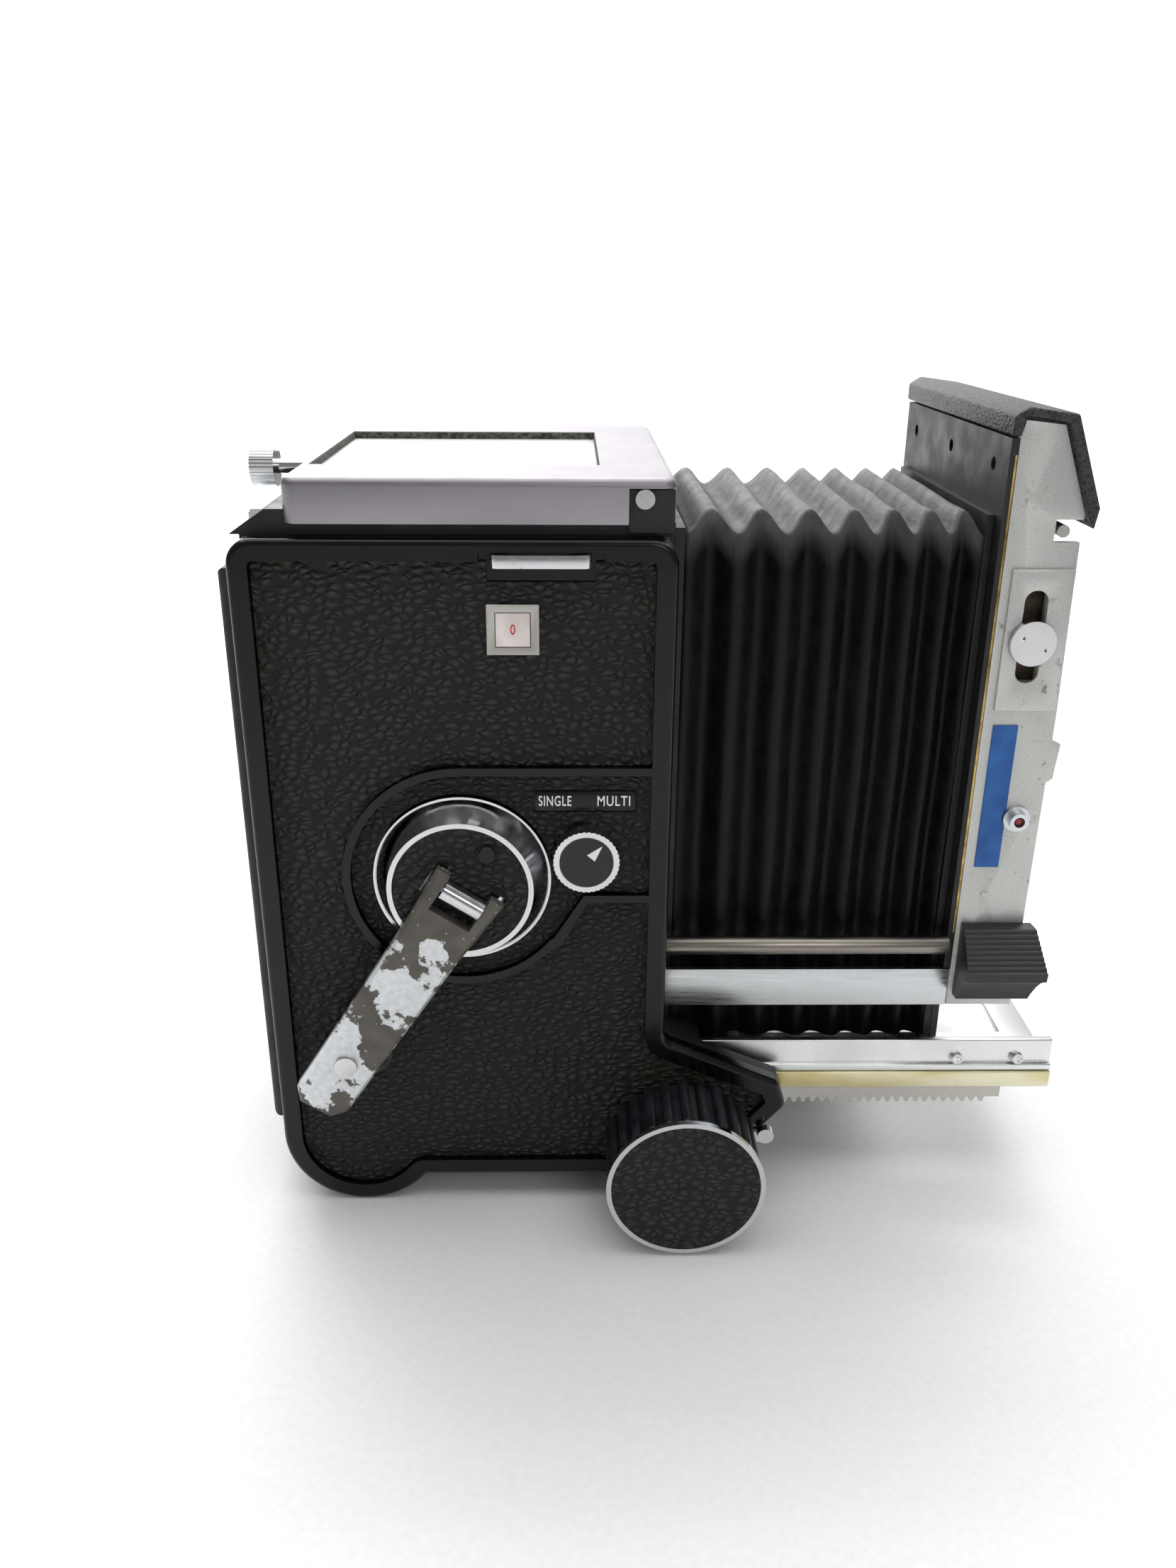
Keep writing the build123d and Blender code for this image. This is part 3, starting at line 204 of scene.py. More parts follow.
def pebbled_cloth(name, edges=()):
    """Grained leathercloth: pressed pebbles 1 to 2 mm long with creases between, drawn out sideways,
    greenish black, with painted shade in the creases and a painted lighter tone on the pebble tops, and
    brown dust caught in the creases and along its cut edges.
    Edges are (axis, place, sign) of the straight edges where the dust gathers."""
    material, tree, shader, place = new_material(name, "#121513", 0.0, 0.5, Specular_IOR_Level=0.4)
    warp = add_node(tree, "TexNoise", {"Scale": per_mm(3.5), "Detail": 3.0, "Vector": place})
    shift = add_node(tree, "VectorMath", {
        "operation": "MULTIPLY_ADD", 1: (0.0022, 0.0022, 0.0022), 0: warp.outputs["Color"],
        2: place,
    })
    unrolled = add_node(tree, "SeparateXYZ", {"Vector": shift.outputs[0]})
    along = add_node(tree, "Math", {
        "operation": "ADD", 0: unrolled.outputs["X"], 1: unrolled.outputs["Y"],
    }).outputs[0]
    flat = add_node(tree, "CombineXYZ", {"X": along, "Y": unrolled.outputs["Z"]})
    mapped = add_node(tree, "Mapping", {
        "Scale": (0.62, 1.05, 1.0), "Rotation": (0.0, 0.0, 0.14), "Vector": flat.outputs["Vector"],
    })
    pebbles = add_node(tree, "TexVoronoi", {
        "voronoi_dimensions": "2D", "feature": "SMOOTH_F1", "Scale": per_mm(1.5), "Smoothness": 0.3,
        "Randomness": 1.0, "Vector": mapped.outputs["Vector"],
    })
    crease = add_node(tree, "TexVoronoi", {
        "voronoi_dimensions": "2D", "feature": "DISTANCE_TO_EDGE", "Scale": per_mm(1.5),
        "Randomness": 1.0, "Vector": mapped.outputs["Vector"],
    })
    dome = add_node(tree, "MapRange", {
        "From Min": 0.05, "From Max": 0.62, "To Min": 1.0, "To Max": 0.0,
        "Value": pebbles.outputs["Distance"],
    }).outputs["Result"]
    open_crease = add_node(tree, "MapRange", {
        "From Max": 0.16, "Value": crease.outputs["Distance"],
    }).outputs["Result"]
    fine = add_node(tree, "TexNoise", {
        "Scale": per_mm(0.35), "Detail": 3.0, "Vector": place,
    }).outputs["Fac"]
    height = add_node(tree, "Math", {
        "operation": "ADD",
        0: add_node(tree, "Math", {"operation": "MULTIPLY", 0: dome, 1: open_crease}).outputs[0],
        1: add_node(tree, "Math", {"operation": "MULTIPLY", 0: fine, 1: 0.35}).outputs[0],
    }).outputs[0]
    # Painted shade and highlight: near black in the creases, grey-green on the pebble tops.
    relief_shading_colour = add_node(tree, "ValToRGB", {
        "stops": [(0.1, "#060807"), (0.85, "#2b312c")],
        "Fac": add_node(tree, "Math", {
            "operation": "MULTIPLY", 0: dome, 1: open_crease,
        }).outputs[0],
    }).outputs["Color"]
    patches = add_node(tree, "TexNoise", {
        "Scale": per_mm(14.0), "Detail": 4.0, "Vector": place,
    }).outputs["Fac"]
    dusty = add_node(tree, "MapRange", {
        "From Min": 0.55, "From Max": 0.8, "To Max": 0.22, "Value": patches,
    }).outputs["Result"]
    for axis, where, sign in edges:
        parts = add_node(tree, "SeparateXYZ", {"Vector": place})
        away = add_node(tree, "Math", {
            "operation": "MULTIPLY",
            0: add_node(tree, "Math", {
                "operation": "SUBTRACT", 0: parts.outputs[axis], 1: where * MM,
            }).outputs[0],
            1: float(sign),
        }).outputs[0]
        near = add_node(tree, "MapRange", {
            "From Max": 2.4 * MM, "To Min": 1.0, "To Max": 0.0, "Value": away,
        }).outputs["Result"]
        rough_edge = add_node(tree, "Math", {
            "operation": "MULTIPLY", 0: near,
            1: add_node(tree, "MapRange", {
                "From Min": 0.4, "From Max": 0.65,
                "Value": add_node(tree, "TexNoise", {
                    "Scale": per_mm(2.0), "Detail": 5.0, "Vector": place,
                }).outputs["Fac"],
            }).outputs["Result"],
        }).outputs[0]
        dusty = add_node(tree, "Math", {"operation": "MAXIMUM", 0: dusty, 1: rough_edge}).outputs[0]
    low_places = add_node(tree, "Math", {
        "operation": "SUBTRACT", 0: 1.0, 1: open_crease,
    }).outputs[0]
    settled = add_node(tree, "Math", {
        "operation": "MULTIPLY", 0: dusty,
        1: add_node(tree, "Math", {
            "operation": "ADD",
            0: add_node(tree, "Math", {"operation": "MULTIPLY", 0: low_places, 1: 0.6}).outputs[0],
            1: 0.3,
        }).outputs[0],
    }).outputs[0]
    tree.links.new(
        add_node(tree, "Mix", {
            "data_type": "RGBA", 0: settled, 6: relief_shading_colour, 7: "#3b3320",
        }).outputs[2],
        shader.inputs["Base Color"],
    )
    tree.links.new(
        add_node(tree, "MapRange", {
            "From Min": 0.2, "From Max": 1.1, "To Min": 0.66, "To Max": 0.4, "Value": height,
        }).outputs["Result"],
        shader.inputs["Roughness"],
    )
    tree.links.new(
        add_node(tree, "Bump", {
            "Strength": 1.0, "Distance": 0.8 * MM, "Height": height,
        }).outputs["Normal"],
        shader.inputs["Normal"],
    )
    return material


def satin_chrome(name="satin_chrome_plate", colour="#d3d5d8", roughness=0.34):
    """Chrome over a blasted surface: pale, soft reflections and a very fine even tooth."""
    material, tree, shader, place = new_material(name, colour, 1.0, roughness)
    tooth = add_node(tree, "TexNoise", {
        "Scale": per_mm(0.3), "Detail": 2.0, "Vector": place,
    }).outputs["Fac"]
    cloud = add_node(tree, "TexNoise", {
        "Scale": per_mm(11.0), "Detail": 3.0, "Vector": place,
    }).outputs["Fac"]
    tree.links.new(
        add_node(tree, "MapRange", {
            "From Min": 0.3, "From Max": 0.7, "To Min": roughness - 0.06,
            "To Max": roughness + 0.09, "Value": cloud,
        }).outputs["Result"],
        shader.inputs["Roughness"],
    )
    tree.links.new(
        add_node(tree, "Bump", {
            "Strength": 0.5, "Distance": 0.012 * MM, "Height": tooth,
        }).outputs["Normal"],
        shader.inputs["Normal"],
    )
    return material


def bright_chrome():
    """Polished chrome plate: mirror-like, with finger haze and small pits."""
    material, tree, shader, place = new_material("polished_chrome_plate", "#cfd0d2", 1.0, 0.1)
    haze = add_node(tree, "TexNoise", {
        "Scale": per_mm(7.0), "Detail": 5.0, "Vector": place,
    }).outputs["Fac"]
    tree.links.new(
        add_node(tree, "MapRange", {
            "From Min": 0.42, "From Max": 0.72, "To Min": 0.07, "To Max": 0.3, "Value": haze,
        }).outputs["Result"],
        shader.inputs["Roughness"],
    )
    pits = add_node(tree, "TexNoise", {
        "Scale": per_mm(0.5), "Detail": 2.0, "Vector": place,
    }).outputs["Fac"]
    tree.links.new(
        add_node(tree, "ValToRGB", {
            "stops": [(0.72, "#cfd0d2"), (0.8, "#6f6b63")], "Fac": pits,
        }).outputs["Color"],
        shader.inputs["Base Color"],
    )
    return material


def turned_steel():
    """Turned and ground steel rod: bright, with fine lines along or round it."""
    material, tree, shader, place = new_material("turned_steel", "#b9b6b0", 1.0, 0.26)
    lines = add_node(tree, "TexNoise", {
        "Scale": per_mm(0.4), "Detail": 2.0,
        "Vector": add_node(tree, "Mapping", {"Scale": (0.12, 1.0, 1.0), "Vector": place}).outputs["Vector"],
    }).outputs["Fac"]
    tree.links.new(
        add_node(tree, "MapRange", {
            "From Min": 0.3, "From Max": 0.7, "To Min": 0.18, "To Max": 0.38, "Value": lines,
        }).outputs["Result"],
        shader.inputs["Roughness"],
    )
    tree.links.new(
        add_node(tree, "Bump", {
            "Strength": 0.4, "Distance": 0.01 * MM, "Height": lines,
        }).outputs["Normal"],
        shader.inputs["Normal"],
    )
    return material


def guide_steel():
    """Ground steel guides: the round rod above is darker, oiled steel, the flat bar below is
    bright plated strip. The two are told apart by height along the piece."""
    material, tree, shader, place = new_material("ground_steel_guides", "#c6c8ca", 1.0, 0.3)
    parts = add_node(tree, "SeparateXYZ", {"Vector": place})
    rod = add_node(tree, "MapRange", {
        "From Min": 55 * MM, "From Max": 56 * MM, "Value": parts.outputs["Z"],
    }).outputs["Result"]
    tree.links.new(
        add_node(tree, "Mix", {"data_type": "RGBA", 0: rod, 6: "#c9cbcd", 7: "#8b857d"}).outputs[2],
        shader.inputs["Base Color"],
    )
    lines = add_node(tree, "TexNoise", {
        "Scale": per_mm(0.5), "Detail": 2.0,
        "Vector": add_node(tree, "Mapping", {
            "Scale": (0.05, 1.0, 1.0), "Vector": place,
        }).outputs["Vector"],
    }).outputs["Fac"]
    tree.links.new(
        add_node(tree, "MapRange", {
            "From Min": 0.3, "From Max": 0.7, "To Min": 0.22, "To Max": 0.4, "Value": lines,
        }).outputs["Result"],
        shader.inputs["Roughness"],
    )
    return material


def worn_nickel_rail():
    """Nickel plate rubbed thin over brass: pale straw metal, yellower where it is worn."""
    material, tree, shader, place = new_material("worn_nickel_on_brass", "#d8d3ab", 1.0, 0.3)
    worn = add_node(tree, "TexNoise", {
        "Scale": per_mm(8.0), "Detail": 5.0,
        "Vector": add_node(tree, "Mapping", {
            "Scale": (0.25, 1.0, 1.0), "Vector": place,
        }).outputs["Vector"],
    }).outputs["Fac"]
    tree.links.new(
        add_node(tree, "ValToRGB", {
            "stops": [(0.4, "#ddd9bd"), (0.68, "#c9b776")], "Fac": worn,
        }).outputs["Color"],
        shader.inputs["Base Color"],
    )
    tree.links.new(
        add_node(tree, "MapRange", {
            "From Min": 0.35, "From Max": 0.7, "To Min": 0.24, "To Max": 0.42, "Value": worn,
        }).outputs["Result"],
        shader.inputs["Roughness"],
    )
    return material


def bare_brass():
    """Bare brass sheet edge: dull gold."""
    material, tree, shader, place = new_material("bare_brass", "#b99a58", 1.0, 0.35)
    dull = add_node(tree, "TexNoise", {
        "Scale": per_mm(3.0), "Detail": 4.0, "Vector": place,
    }).outputs["Fac"]
    tree.links.new(
        add_node(tree, "ValToRGB", {
            "stops": [(0.35, "#c8ab68"), (0.7, "#7d6535")], "Fac": dull,
        }).outputs["Color"],
        shader.inputs["Base Color"],
    )
    return material


def silver_lacquer():
    """Aluminium-filled lacquer on sheet: pale grey, fine metallic grit, and small brown stains in scattered
    patches."""
    material, tree, shader, place = new_material("silver_lacquer", "#c3c4c0", 0.55, 0.42)
    grit = add_node(tree, "TexNoise", {
        "Scale": per_mm(0.28), "Detail": 2.0, "Vector": place,
    }).outputs["Fac"]
    cloud = add_node(tree, "TexNoise", {
        "Scale": per_mm(12.0), "Detail": 4.0, "Vector": place,
    }).outputs["Fac"]
    base = add_node(tree, "ValToRGB", {
        "stops": [(0.3, "#b6b7b3"), (0.72, "#d2d3d0")], "Fac": grit,
    }).outputs["Color"]
    stains = add_node(tree, "Math", {
        "operation": "MULTIPLY",
        0: add_node(tree, "MapRange", {
            "From Min": 0.6, "From Max": 0.68,
            "Value": add_node(tree, "TexNoise", {
                "Scale": per_mm(2.6), "Detail": 5.0, "Vector": place,
            }).outputs["Fac"],
        }).outputs["Result"],
        1: add_node(tree, "MapRange", {
            "From Min": 0.5, "From Max": 0.62, "Value": cloud,
        }).outputs["Result"],
    }).outputs[0]
    tree.links.new(
        add_node(tree, "Mix", {
            "data_type": "RGBA",
            0: add_node(tree, "Math", {"operation": "MULTIPLY", 0: stains, 1: 0.75}).outputs[0],
            6: base, 7: "#6d5a41",
        }).outputs[2],
        shader.inputs["Base Color"],
    )
    tree.links.new(
        add_node(tree, "MapRange", {
            "From Min": 0.3, "From Max": 0.7, "To Min": 0.36, "To Max": 0.5, "Value": cloud,
        }).outputs["Result"],
        shader.inputs["Roughness"],
    )
    tree.links.new(
        add_node(tree, "Bump", {
            "Strength": 0.5, "Distance": 0.015 * MM, "Height": grit,
        }).outputs["Normal"],
        shader.inputs["Normal"],
    )
    return material


def mirror_silver():
    """Front-silvered mirror glass."""
    material, tree, shader, place = new_material("front_silvered_glass", "#eef0f0", 1.0, 0.03)
    dust = add_node(tree, "TexNoise", {
        "Scale": per_mm(1.4), "Detail": 3.0, "Vector": place,
    }).outputs["Fac"]
    tree.links.new(
        add_node(tree, "MapRange", {
            "From Min": 0.6, "From Max": 0.8, "To Min": 0.03, "To Max": 0.25, "Value": dust,
        }).outputs["Result"],
        shader.inputs["Roughness"],
    )
    return material


def ground_glass():
    """Ground focusing glass: milky white, evenly scattering, with dust specks on top."""
    material, tree, shader, place = new_material(
        "ground_glass", "#eef3f2", 0.0, 0.32, Transmission_Weight=0.25, IOR=1.5
    )
    specks = add_node(tree, "TexNoise", {
        "Scale": per_mm(0.8), "Detail": 2.0, "Vector": place,
    }).outputs["Fac"]
    tree.links.new(
        add_node(tree, "ValToRGB", {
            "stops": [(0.76, "#eef3f2"), (0.82, "#8d948f")], "Fac": specks,
        }).outputs["Color"],
        shader.inputs["Base Color"],
    )
    tree.links.new(
        add_node(tree, "Bump", {
            "Strength": 0.4, "Distance": 0.01 * MM,
            "Height": add_node(tree, "TexNoise", {
                "Scale": per_mm(0.2), "Detail": 1.0, "Vector": place,
            }).outputs["Fac"],
        }).outputs["Normal"],
        shader.inputs["Normal"],
    )
    return material


def black_phenolic():
    """Moulded black phenolic: bluish black, soft moulded sheen, handling haze."""
    material, tree, shader, place = new_material("moulded_black_phenolic", "#17191e", 0.0, 0.38)
    haze = add_node(tree, "TexNoise", {
        "Scale": per_mm(5.0), "Detail": 4.0, "Vector": place,
    }).outputs["Fac"]
    tree.links.new(
        add_node(tree, "ValToRGB", {
            "stops": [(0.35, "#111317"), (0.75, "#23262b")], "Fac": haze,
        }).outputs["Color"],
        shader.inputs["Base Color"],
    )
    tree.links.new(
        add_node(tree, "MapRange", {
            "From Min": 0.3, "From Max": 0.7, "To Min": 0.3, "To Max": 0.5, "Value": haze,
        }).outputs["Result"],
        shader.inputs["Roughness"],
    )
    tree.links.new(
        add_node(tree, "Bump", {
            "Strength": 0.5, "Distance": 0.012 * MM,
            "Height": add_node(tree, "TexNoise", {
                "Scale": per_mm(0.25), "Detail": 2.0, "Vector": place,
            }).outputs["Fac"],
        }).outputs["Normal"],
        shader.inputs["Normal"],
    )
    return material


def worn_arm_paint(hinge, turn):
    """Grey-brown paint on cast aluminium, rubbed to bare pale metal in ragged patches along
    the arm: the hinge end keeps its paint, the grip end has lost most. Reads the arm's own
    length as a coordinate that starts at the hinge."""
    material, tree, shader, place = new_material("worn_grey_paint_on_aluminium", "#57524c", 0.0, 0.45)
    local = add_node(tree, "Mapping", {
        "vector_type": "TEXTURE", "Location": hinge, "Rotation": (0.0, turn, 0.0), "Vector": place,
    }).outputs["Vector"]
    parts = add_node(tree, "SeparateXYZ", {"Vector": local})
    length = add_node(tree, "Math", {
        "operation": "MULTIPLY", 0: parts.outputs["X"], 1: 1 / MM,
    }).outputs[0]
    ragged = add_node(tree, "TexNoise", {
        "Scale": per_mm(7.5), "Detail": 9.0, "Roughness": 0.62, "Vector": local,
    }).outputs["Fac"]
    middle = add_node(tree, "Math", {
        "operation": "SUBTRACT", 0: 1.0,
        1: add_node(tree, "Math", {
            "operation": "ABSOLUTE",
            0: add_node(tree, "Math", {
                "operation": "MULTIPLY",
                0: add_node(tree, "Math", {"operation": "SUBTRACT", 0: length, 1: 23.0}).outputs[0],
                1: 0.085,
            }).outputs[0],
        }).outputs[0],
    }).outputs[0]
    grip = add_node(tree, "Math", {
        "operation": "SUBTRACT", 0: 1.0,
        1: add_node(tree, "Math", {
            "operation": "ABSOLUTE",
            0: add_node(tree, "Math", {
                "operation": "MULTIPLY",
                0: add_node(tree, "Math", {"operation": "SUBTRACT", 0: length, 1: 49.0}).outputs[0],
                1: 0.062,
            }).outputs[0],
        }).outputs[0],
    }).outputs[0]
    bias = add_node(tree, "Math", {
        "operation": "MAXIMUM",
        0: add_node(tree, "Math", {"operation": "MAXIMUM", 0: middle, 1: grip}).outputs[0], 1: -0.6,
    }).outputs[0]
    worn = add_node(tree, "MapRange", {
        "From Min": 0.57, "From Max": 0.585,
        "Value": add_node(tree, "Math", {
            "operation": "ADD", 0: ragged,
            1: add_node(tree, "Math", {"operation": "MULTIPLY", 0: bias, 1: 0.17}).outputs[0],
        }).outputs[0],
    }).outputs["Result"]
    flecks = add_node(tree, "MapRange", {
        "From Min": 0.7, "From Max": 0.73,
        "Value": add_node(tree, "TexNoise", {
            "Scale": per_mm(0.9), "Detail": 4.0, "Vector": place,
        }).outputs["Fac"],
    }).outputs["Result"]
    bare = add_node(tree, "Math", {
        "operation": "MAXIMUM", 0: worn,
        1: add_node(tree, "Math", {"operation": "MULTIPLY", 0: flecks, 1: 0.7}).outputs[0],
    }).outputs[0]
    paint = add_node(tree, "ValToRGB", {
        "stops": [(0.3, "#4a4640"), (0.75, "#645f57")],
        "Fac": add_node(tree, "TexNoise", {
            "Scale": per_mm(4.0), "Detail": 5.0, "Vector": place,
        }).outputs["Fac"],
    }).outputs["Color"]
    metal = add_node(tree, "ValToRGB", {
        "stops": [(0.3, "#cdd0d2"), (0.7, "#e2e4e6")],
        "Fac": add_node(tree, "TexNoise", {
            "Scale": per_mm(1.2), "Detail": 4.0, "Vector": place,
        }).outputs["Fac"],
    }).outputs["Color"]
    tree.links.new(
        add_node(tree, "Mix", {"data_type": "RGBA", 0: bare, 6: paint, 7: metal}).outputs[2],
        shader.inputs["Base Color"],
    )
    tree.links.new(
        add_node(tree, "Math", {"operation": "MULTIPLY", 0: bare, 1: 0.75}).outputs[0],
        shader.inputs["Metallic"],
    )
    tree.links.new(
        add_node(tree, "Bump", {
            "Strength": 0.8, "Distance": 0.05 * MM,
            "Height": add_node(tree, "Math", {"operation": "SUBTRACT", 0: 1.0, 1: bare}).outputs[0],
        }).outputs["Normal"],
        shader.inputs["Normal"],
    )
    return material


def bellows_leather(attribute):
    """Skived black goat leather over card: fine pores and soft sheen. The upper pleats get a painted grey
    sheen, partly real dust, mottled and given by the piece's own attribute."""
    material, tree, shader, place = new_material(
        "bellows_goat_leather", "#0b0c0c", 0.0, 0.5, Specular_IOR_Level=0.22
    )
    # Painted grey sheen, partly dust, on the upper pleats, read from the piece's attribute.
    bloom = add_node(tree, "Attribute", {"attribute_name": attribute}).outputs["Fac"]
    pores = add_node(tree, "TexVoronoi", {
        "feature": "F1", "Scale": per_mm(0.75), "Randomness": 1.0, "Vector": place,
    }).outputs["Distance"]
    wrinkle = add_node(tree, "TexNoise", {
        "Scale": per_mm(2.4), "Detail": 5.0,
        "Vector": add_node(tree, "Mapping", {
            "Scale": (1.0, 0.6, 0.6), "Vector": place,
        }).outputs["Vector"],
    }).outputs["Fac"]
    mottled = add_node(tree, "Math", {
        "operation": "MULTIPLY", 0: bloom,
        1: add_node(tree, "MapRange", {
            "From Min": 0.25, "From Max": 0.7, "To Min": 0.45,
            "Value": add_node(tree, "TexNoise", {
                "Scale": per_mm(5.0), "Detail": 5.0, "Vector": place,
            }).outputs["Fac"],
        }).outputs["Result"],
    }).outputs[0]
    leather = add_node(tree, "ValToRGB", {
        "stops": [(0.3, "#060707"), (0.75, "#101111")], "Fac": wrinkle,
    }).outputs["Color"]
    tree.links.new(
        # Mix in the grey: painted sheen of the overhead light on the upper pleats, partly dust.
        add_node(tree, "Mix", {
            "data_type": "RGBA", 0: mottled, 6: leather, 7: "#747776",
        }).outputs[2],
        shader.inputs["Base Color"],
    )
    tree.links.new(
        add_node(tree, "MapRange", {
            "From Min": 0.3, "From Max": 0.7, "To Min": 0.42, "To Max": 0.6, "Value": wrinkle,
        }).outputs["Result"],
        shader.inputs["Roughness"],
    )
    height = add_node(tree, "Math", {
        "operation": "ADD",
        0: add_node(tree, "Math", {"operation": "MULTIPLY", 0: pores, 1: 0.35}).outputs[0],
        1: wrinkle,
    }).outputs[0]
    tree.links.new(
        add_node(tree, "Bump", {
            "Strength": 0.7, "Distance": 0.16 * MM, "Height": height,
        }).outputs["Normal"],
        shader.inputs["Normal"],
    )
    return material


def blue_anodised():
    """Blue anodised aluminium tab: saturated, satin."""
    material, tree, shader, place = new_material("blue_anodised_aluminium", "#235a9c", 0.35, 0.38)
    fade = add_node(tree, "TexNoise", {
        "Scale": per_mm(4.0), "Detail": 4.0, "Vector": place,
    }).outputs["Fac"]
    tree.links.new(
        add_node(tree, "ValToRGB", {
            "stops": [(0.3, "#1d5092"), (0.75, "#2b66aa")], "Fac": fade,
        }).outputs["Color"],
        shader.inputs["Base Color"],
    )
    return material


def crinkle_lacquer():
    """Crinkle lacquer: black, tight raised wrinkles about 0.7 mm apart, with a painted highlight on the
    ridges and painted shade in the valleys.
    """
    material, tree, shader, place = new_material("black_crinkle_lacquer", "#1c1d1e", 0.0, 0.5)
    cells = add_node(tree, "TexVoronoi", {
        "feature": "DISTANCE_TO_EDGE", "Scale": per_mm(1.0), "Randomness": 1.0, "Vector": place,
    }).outputs["Distance"]
    ridge = add_node(tree, "MapRange", {
        "From Max": 0.3, "To Min": 1.0, "To Max": 0.0, "Value": cells,
    }).outputs["Result"]
    # Painted highlight on the wrinkle ridges and painted shade between them.
    tree.links.new(
        add_node(tree, "ValToRGB", {
            "stops": [(0.1, "#151617"), (0.9, "#333536")], "Fac": ridge,
        }).outputs["Color"],
        shader.inputs["Base Color"],
    )
    tree.links.new(
        add_node(tree, "Bump", {
            "Strength": 0.8, "Distance": 0.18 * MM,
            "Height": add_node(tree, "Math", {
                "operation": "ADD", 0: ridge,
                1: add_node(tree, "TexNoise", {
                    "Scale": per_mm(0.5), "Detail": 2.0, "Vector": place,
                }).outputs["Fac"],
            }).outputs[0],
        }).outputs["Normal"],
        shader.inputs["Normal"],
    )
    return material


def milky_window():
    """Milky plastic counter window: off-white, yellowed in soft patches."""
    material, tree, shader, place = new_material("milky_plastic_window", "#e7dcd8", 0.0, 0.25)
    aged = add_node(tree, "TexNoise", {
        "Scale": per_mm(5.0), "Detail": 3.0, "Vector": place,
    }).outputs["Fac"]
    tree.links.new(
        add_node(tree, "ValToRGB", {
            "stops": [(0.35, "#efe6e3"), (0.7, "#d9cac4")], "Fac": aged,
        }).outputs["Color"],
        shader.inputs["Base Color"],
    )
    return material


def printed(name, colour):
    """Silk-screened ink: flat, slightly uneven cover."""
    material, tree, shader, place = new_material(name, colour, 0.0, 0.5)
    cover = add_node(tree, "TexNoise", {
        "Scale": per_mm(0.5), "Detail": 3.0, "Vector": place,
    }).outputs["Fac"]
    tree.links.new(
        add_node(tree, "MapRange", {
            "From Min": 0.3, "From Max": 0.7, "To Min": 0.42, "To Max": 0.6, "Value": cover,
        }).outputs["Result"],
        shader.inputs["Roughness"],
    )
    return material


def floor_paper():
    """Pale seamless paper: almost white, the faintest tooth."""
    material, tree, shader, place = new_material("pale_seamless_paper", "#f2f3f3", 0.0, 0.7)
    tooth = add_node(tree, "TexNoise", {
        "Scale": per_mm(1.5), "Detail": 3.0, "Vector": place,
    }).outputs["Fac"]
    tree.links.new(
        add_node(tree, "ValToRGB", {
            "stops": [(0.3, "#f0f1f1"), (0.7, "#f6f6f6")], "Fac": tooth,
        }).outputs["Color"],
        shader.inputs["Base Color"],
    )
    return material


# ------------------------------------------------------------------ mesh helpers
def finish_piece(name, mesh, material, body, replaced=(), crease=32.0):
    """Turn a bmesh into a shaded piece that rides on a body and stands for CAD nodes."""
    bmesh.ops.recalc_face_normals(mesh, faces=mesh.faces)
    data = bpy.data.meshes.new(name)
    mesh.to_mesh(data)
    mesh.free()
    piece = bpy.data.objects.new(name, data)
    bpy.context.scene.collection.objects.link(piece)
    data.materials.append(material)
    data.shade_smooth()
    data.set_sharp_from_angle(angle=math.radians(crease))
    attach(piece, body)
    if replaced:
        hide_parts(*replaced)
    return piece


def dress(node, material):
    """Give a CAD node its finish."""
    slots = frame["nodes"][node].data.materials
    slots.clear()
    slots.append(material)


def body_of(node):
    """The body that a CAD node rides on."""
    return frame["nodes"][node]["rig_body"]


def slot_of(node):
    """The record's material slot of a CAD node."""
    return next(p["material_slot"] for p in frame["record"]["subparts"] if p["node"] == node)


def eased_copy(node, material, radius, segments):
    """Copy of a CAD node with its sharp corners broken by a small radius in millimetres."""
    mesh = bmesh.new()
    mesh.from_mesh(frame["nodes"][node].data)
    bmesh.ops.remove_doubles(mesh, verts=mesh.verts, dist=0.002 * MM)
    sharp = [
        e for e in mesh.edges if len(e.link_faces) == 2 and e.calc_face_angle(0) > math.radians(35)
    ]
    bmesh.ops.bevel(
        mesh,
        geom=sharp,
        offset=radius * MM,
        segments=segments,
        profile=0.5,
        affect="EDGES",
        clamp_overlap=True,
        material=-1,
    )
    return finish_piece(node + "_eased", mesh, material, body_of(node), (node,))


def box_bmesh(low, high, radius):
    """A box between two corners in millimetres, with its edges rounded."""
    mesh = bmesh.new()
    bmesh.ops.create_cube(mesh, size=1.0)
    size = [(h - l) * MM for l, h in zip(low, high)]
    centre = [(h + l) / 2 * MM for l, h in zip(low, high)]
    bmesh.ops.scale(mesh, vec=size, verts=mesh.verts)
    bmesh.ops.translate(mesh, vec=centre, verts=mesh.verts)
    bmesh.ops.bevel(
        mesh,
        geom=mesh.edges[:],
        offset=radius * MM,
        segments=2,
        profile=0.5,
        affect="EDGES",
        clamp_overlap=True,
        material=-1,
    )
    return mesh


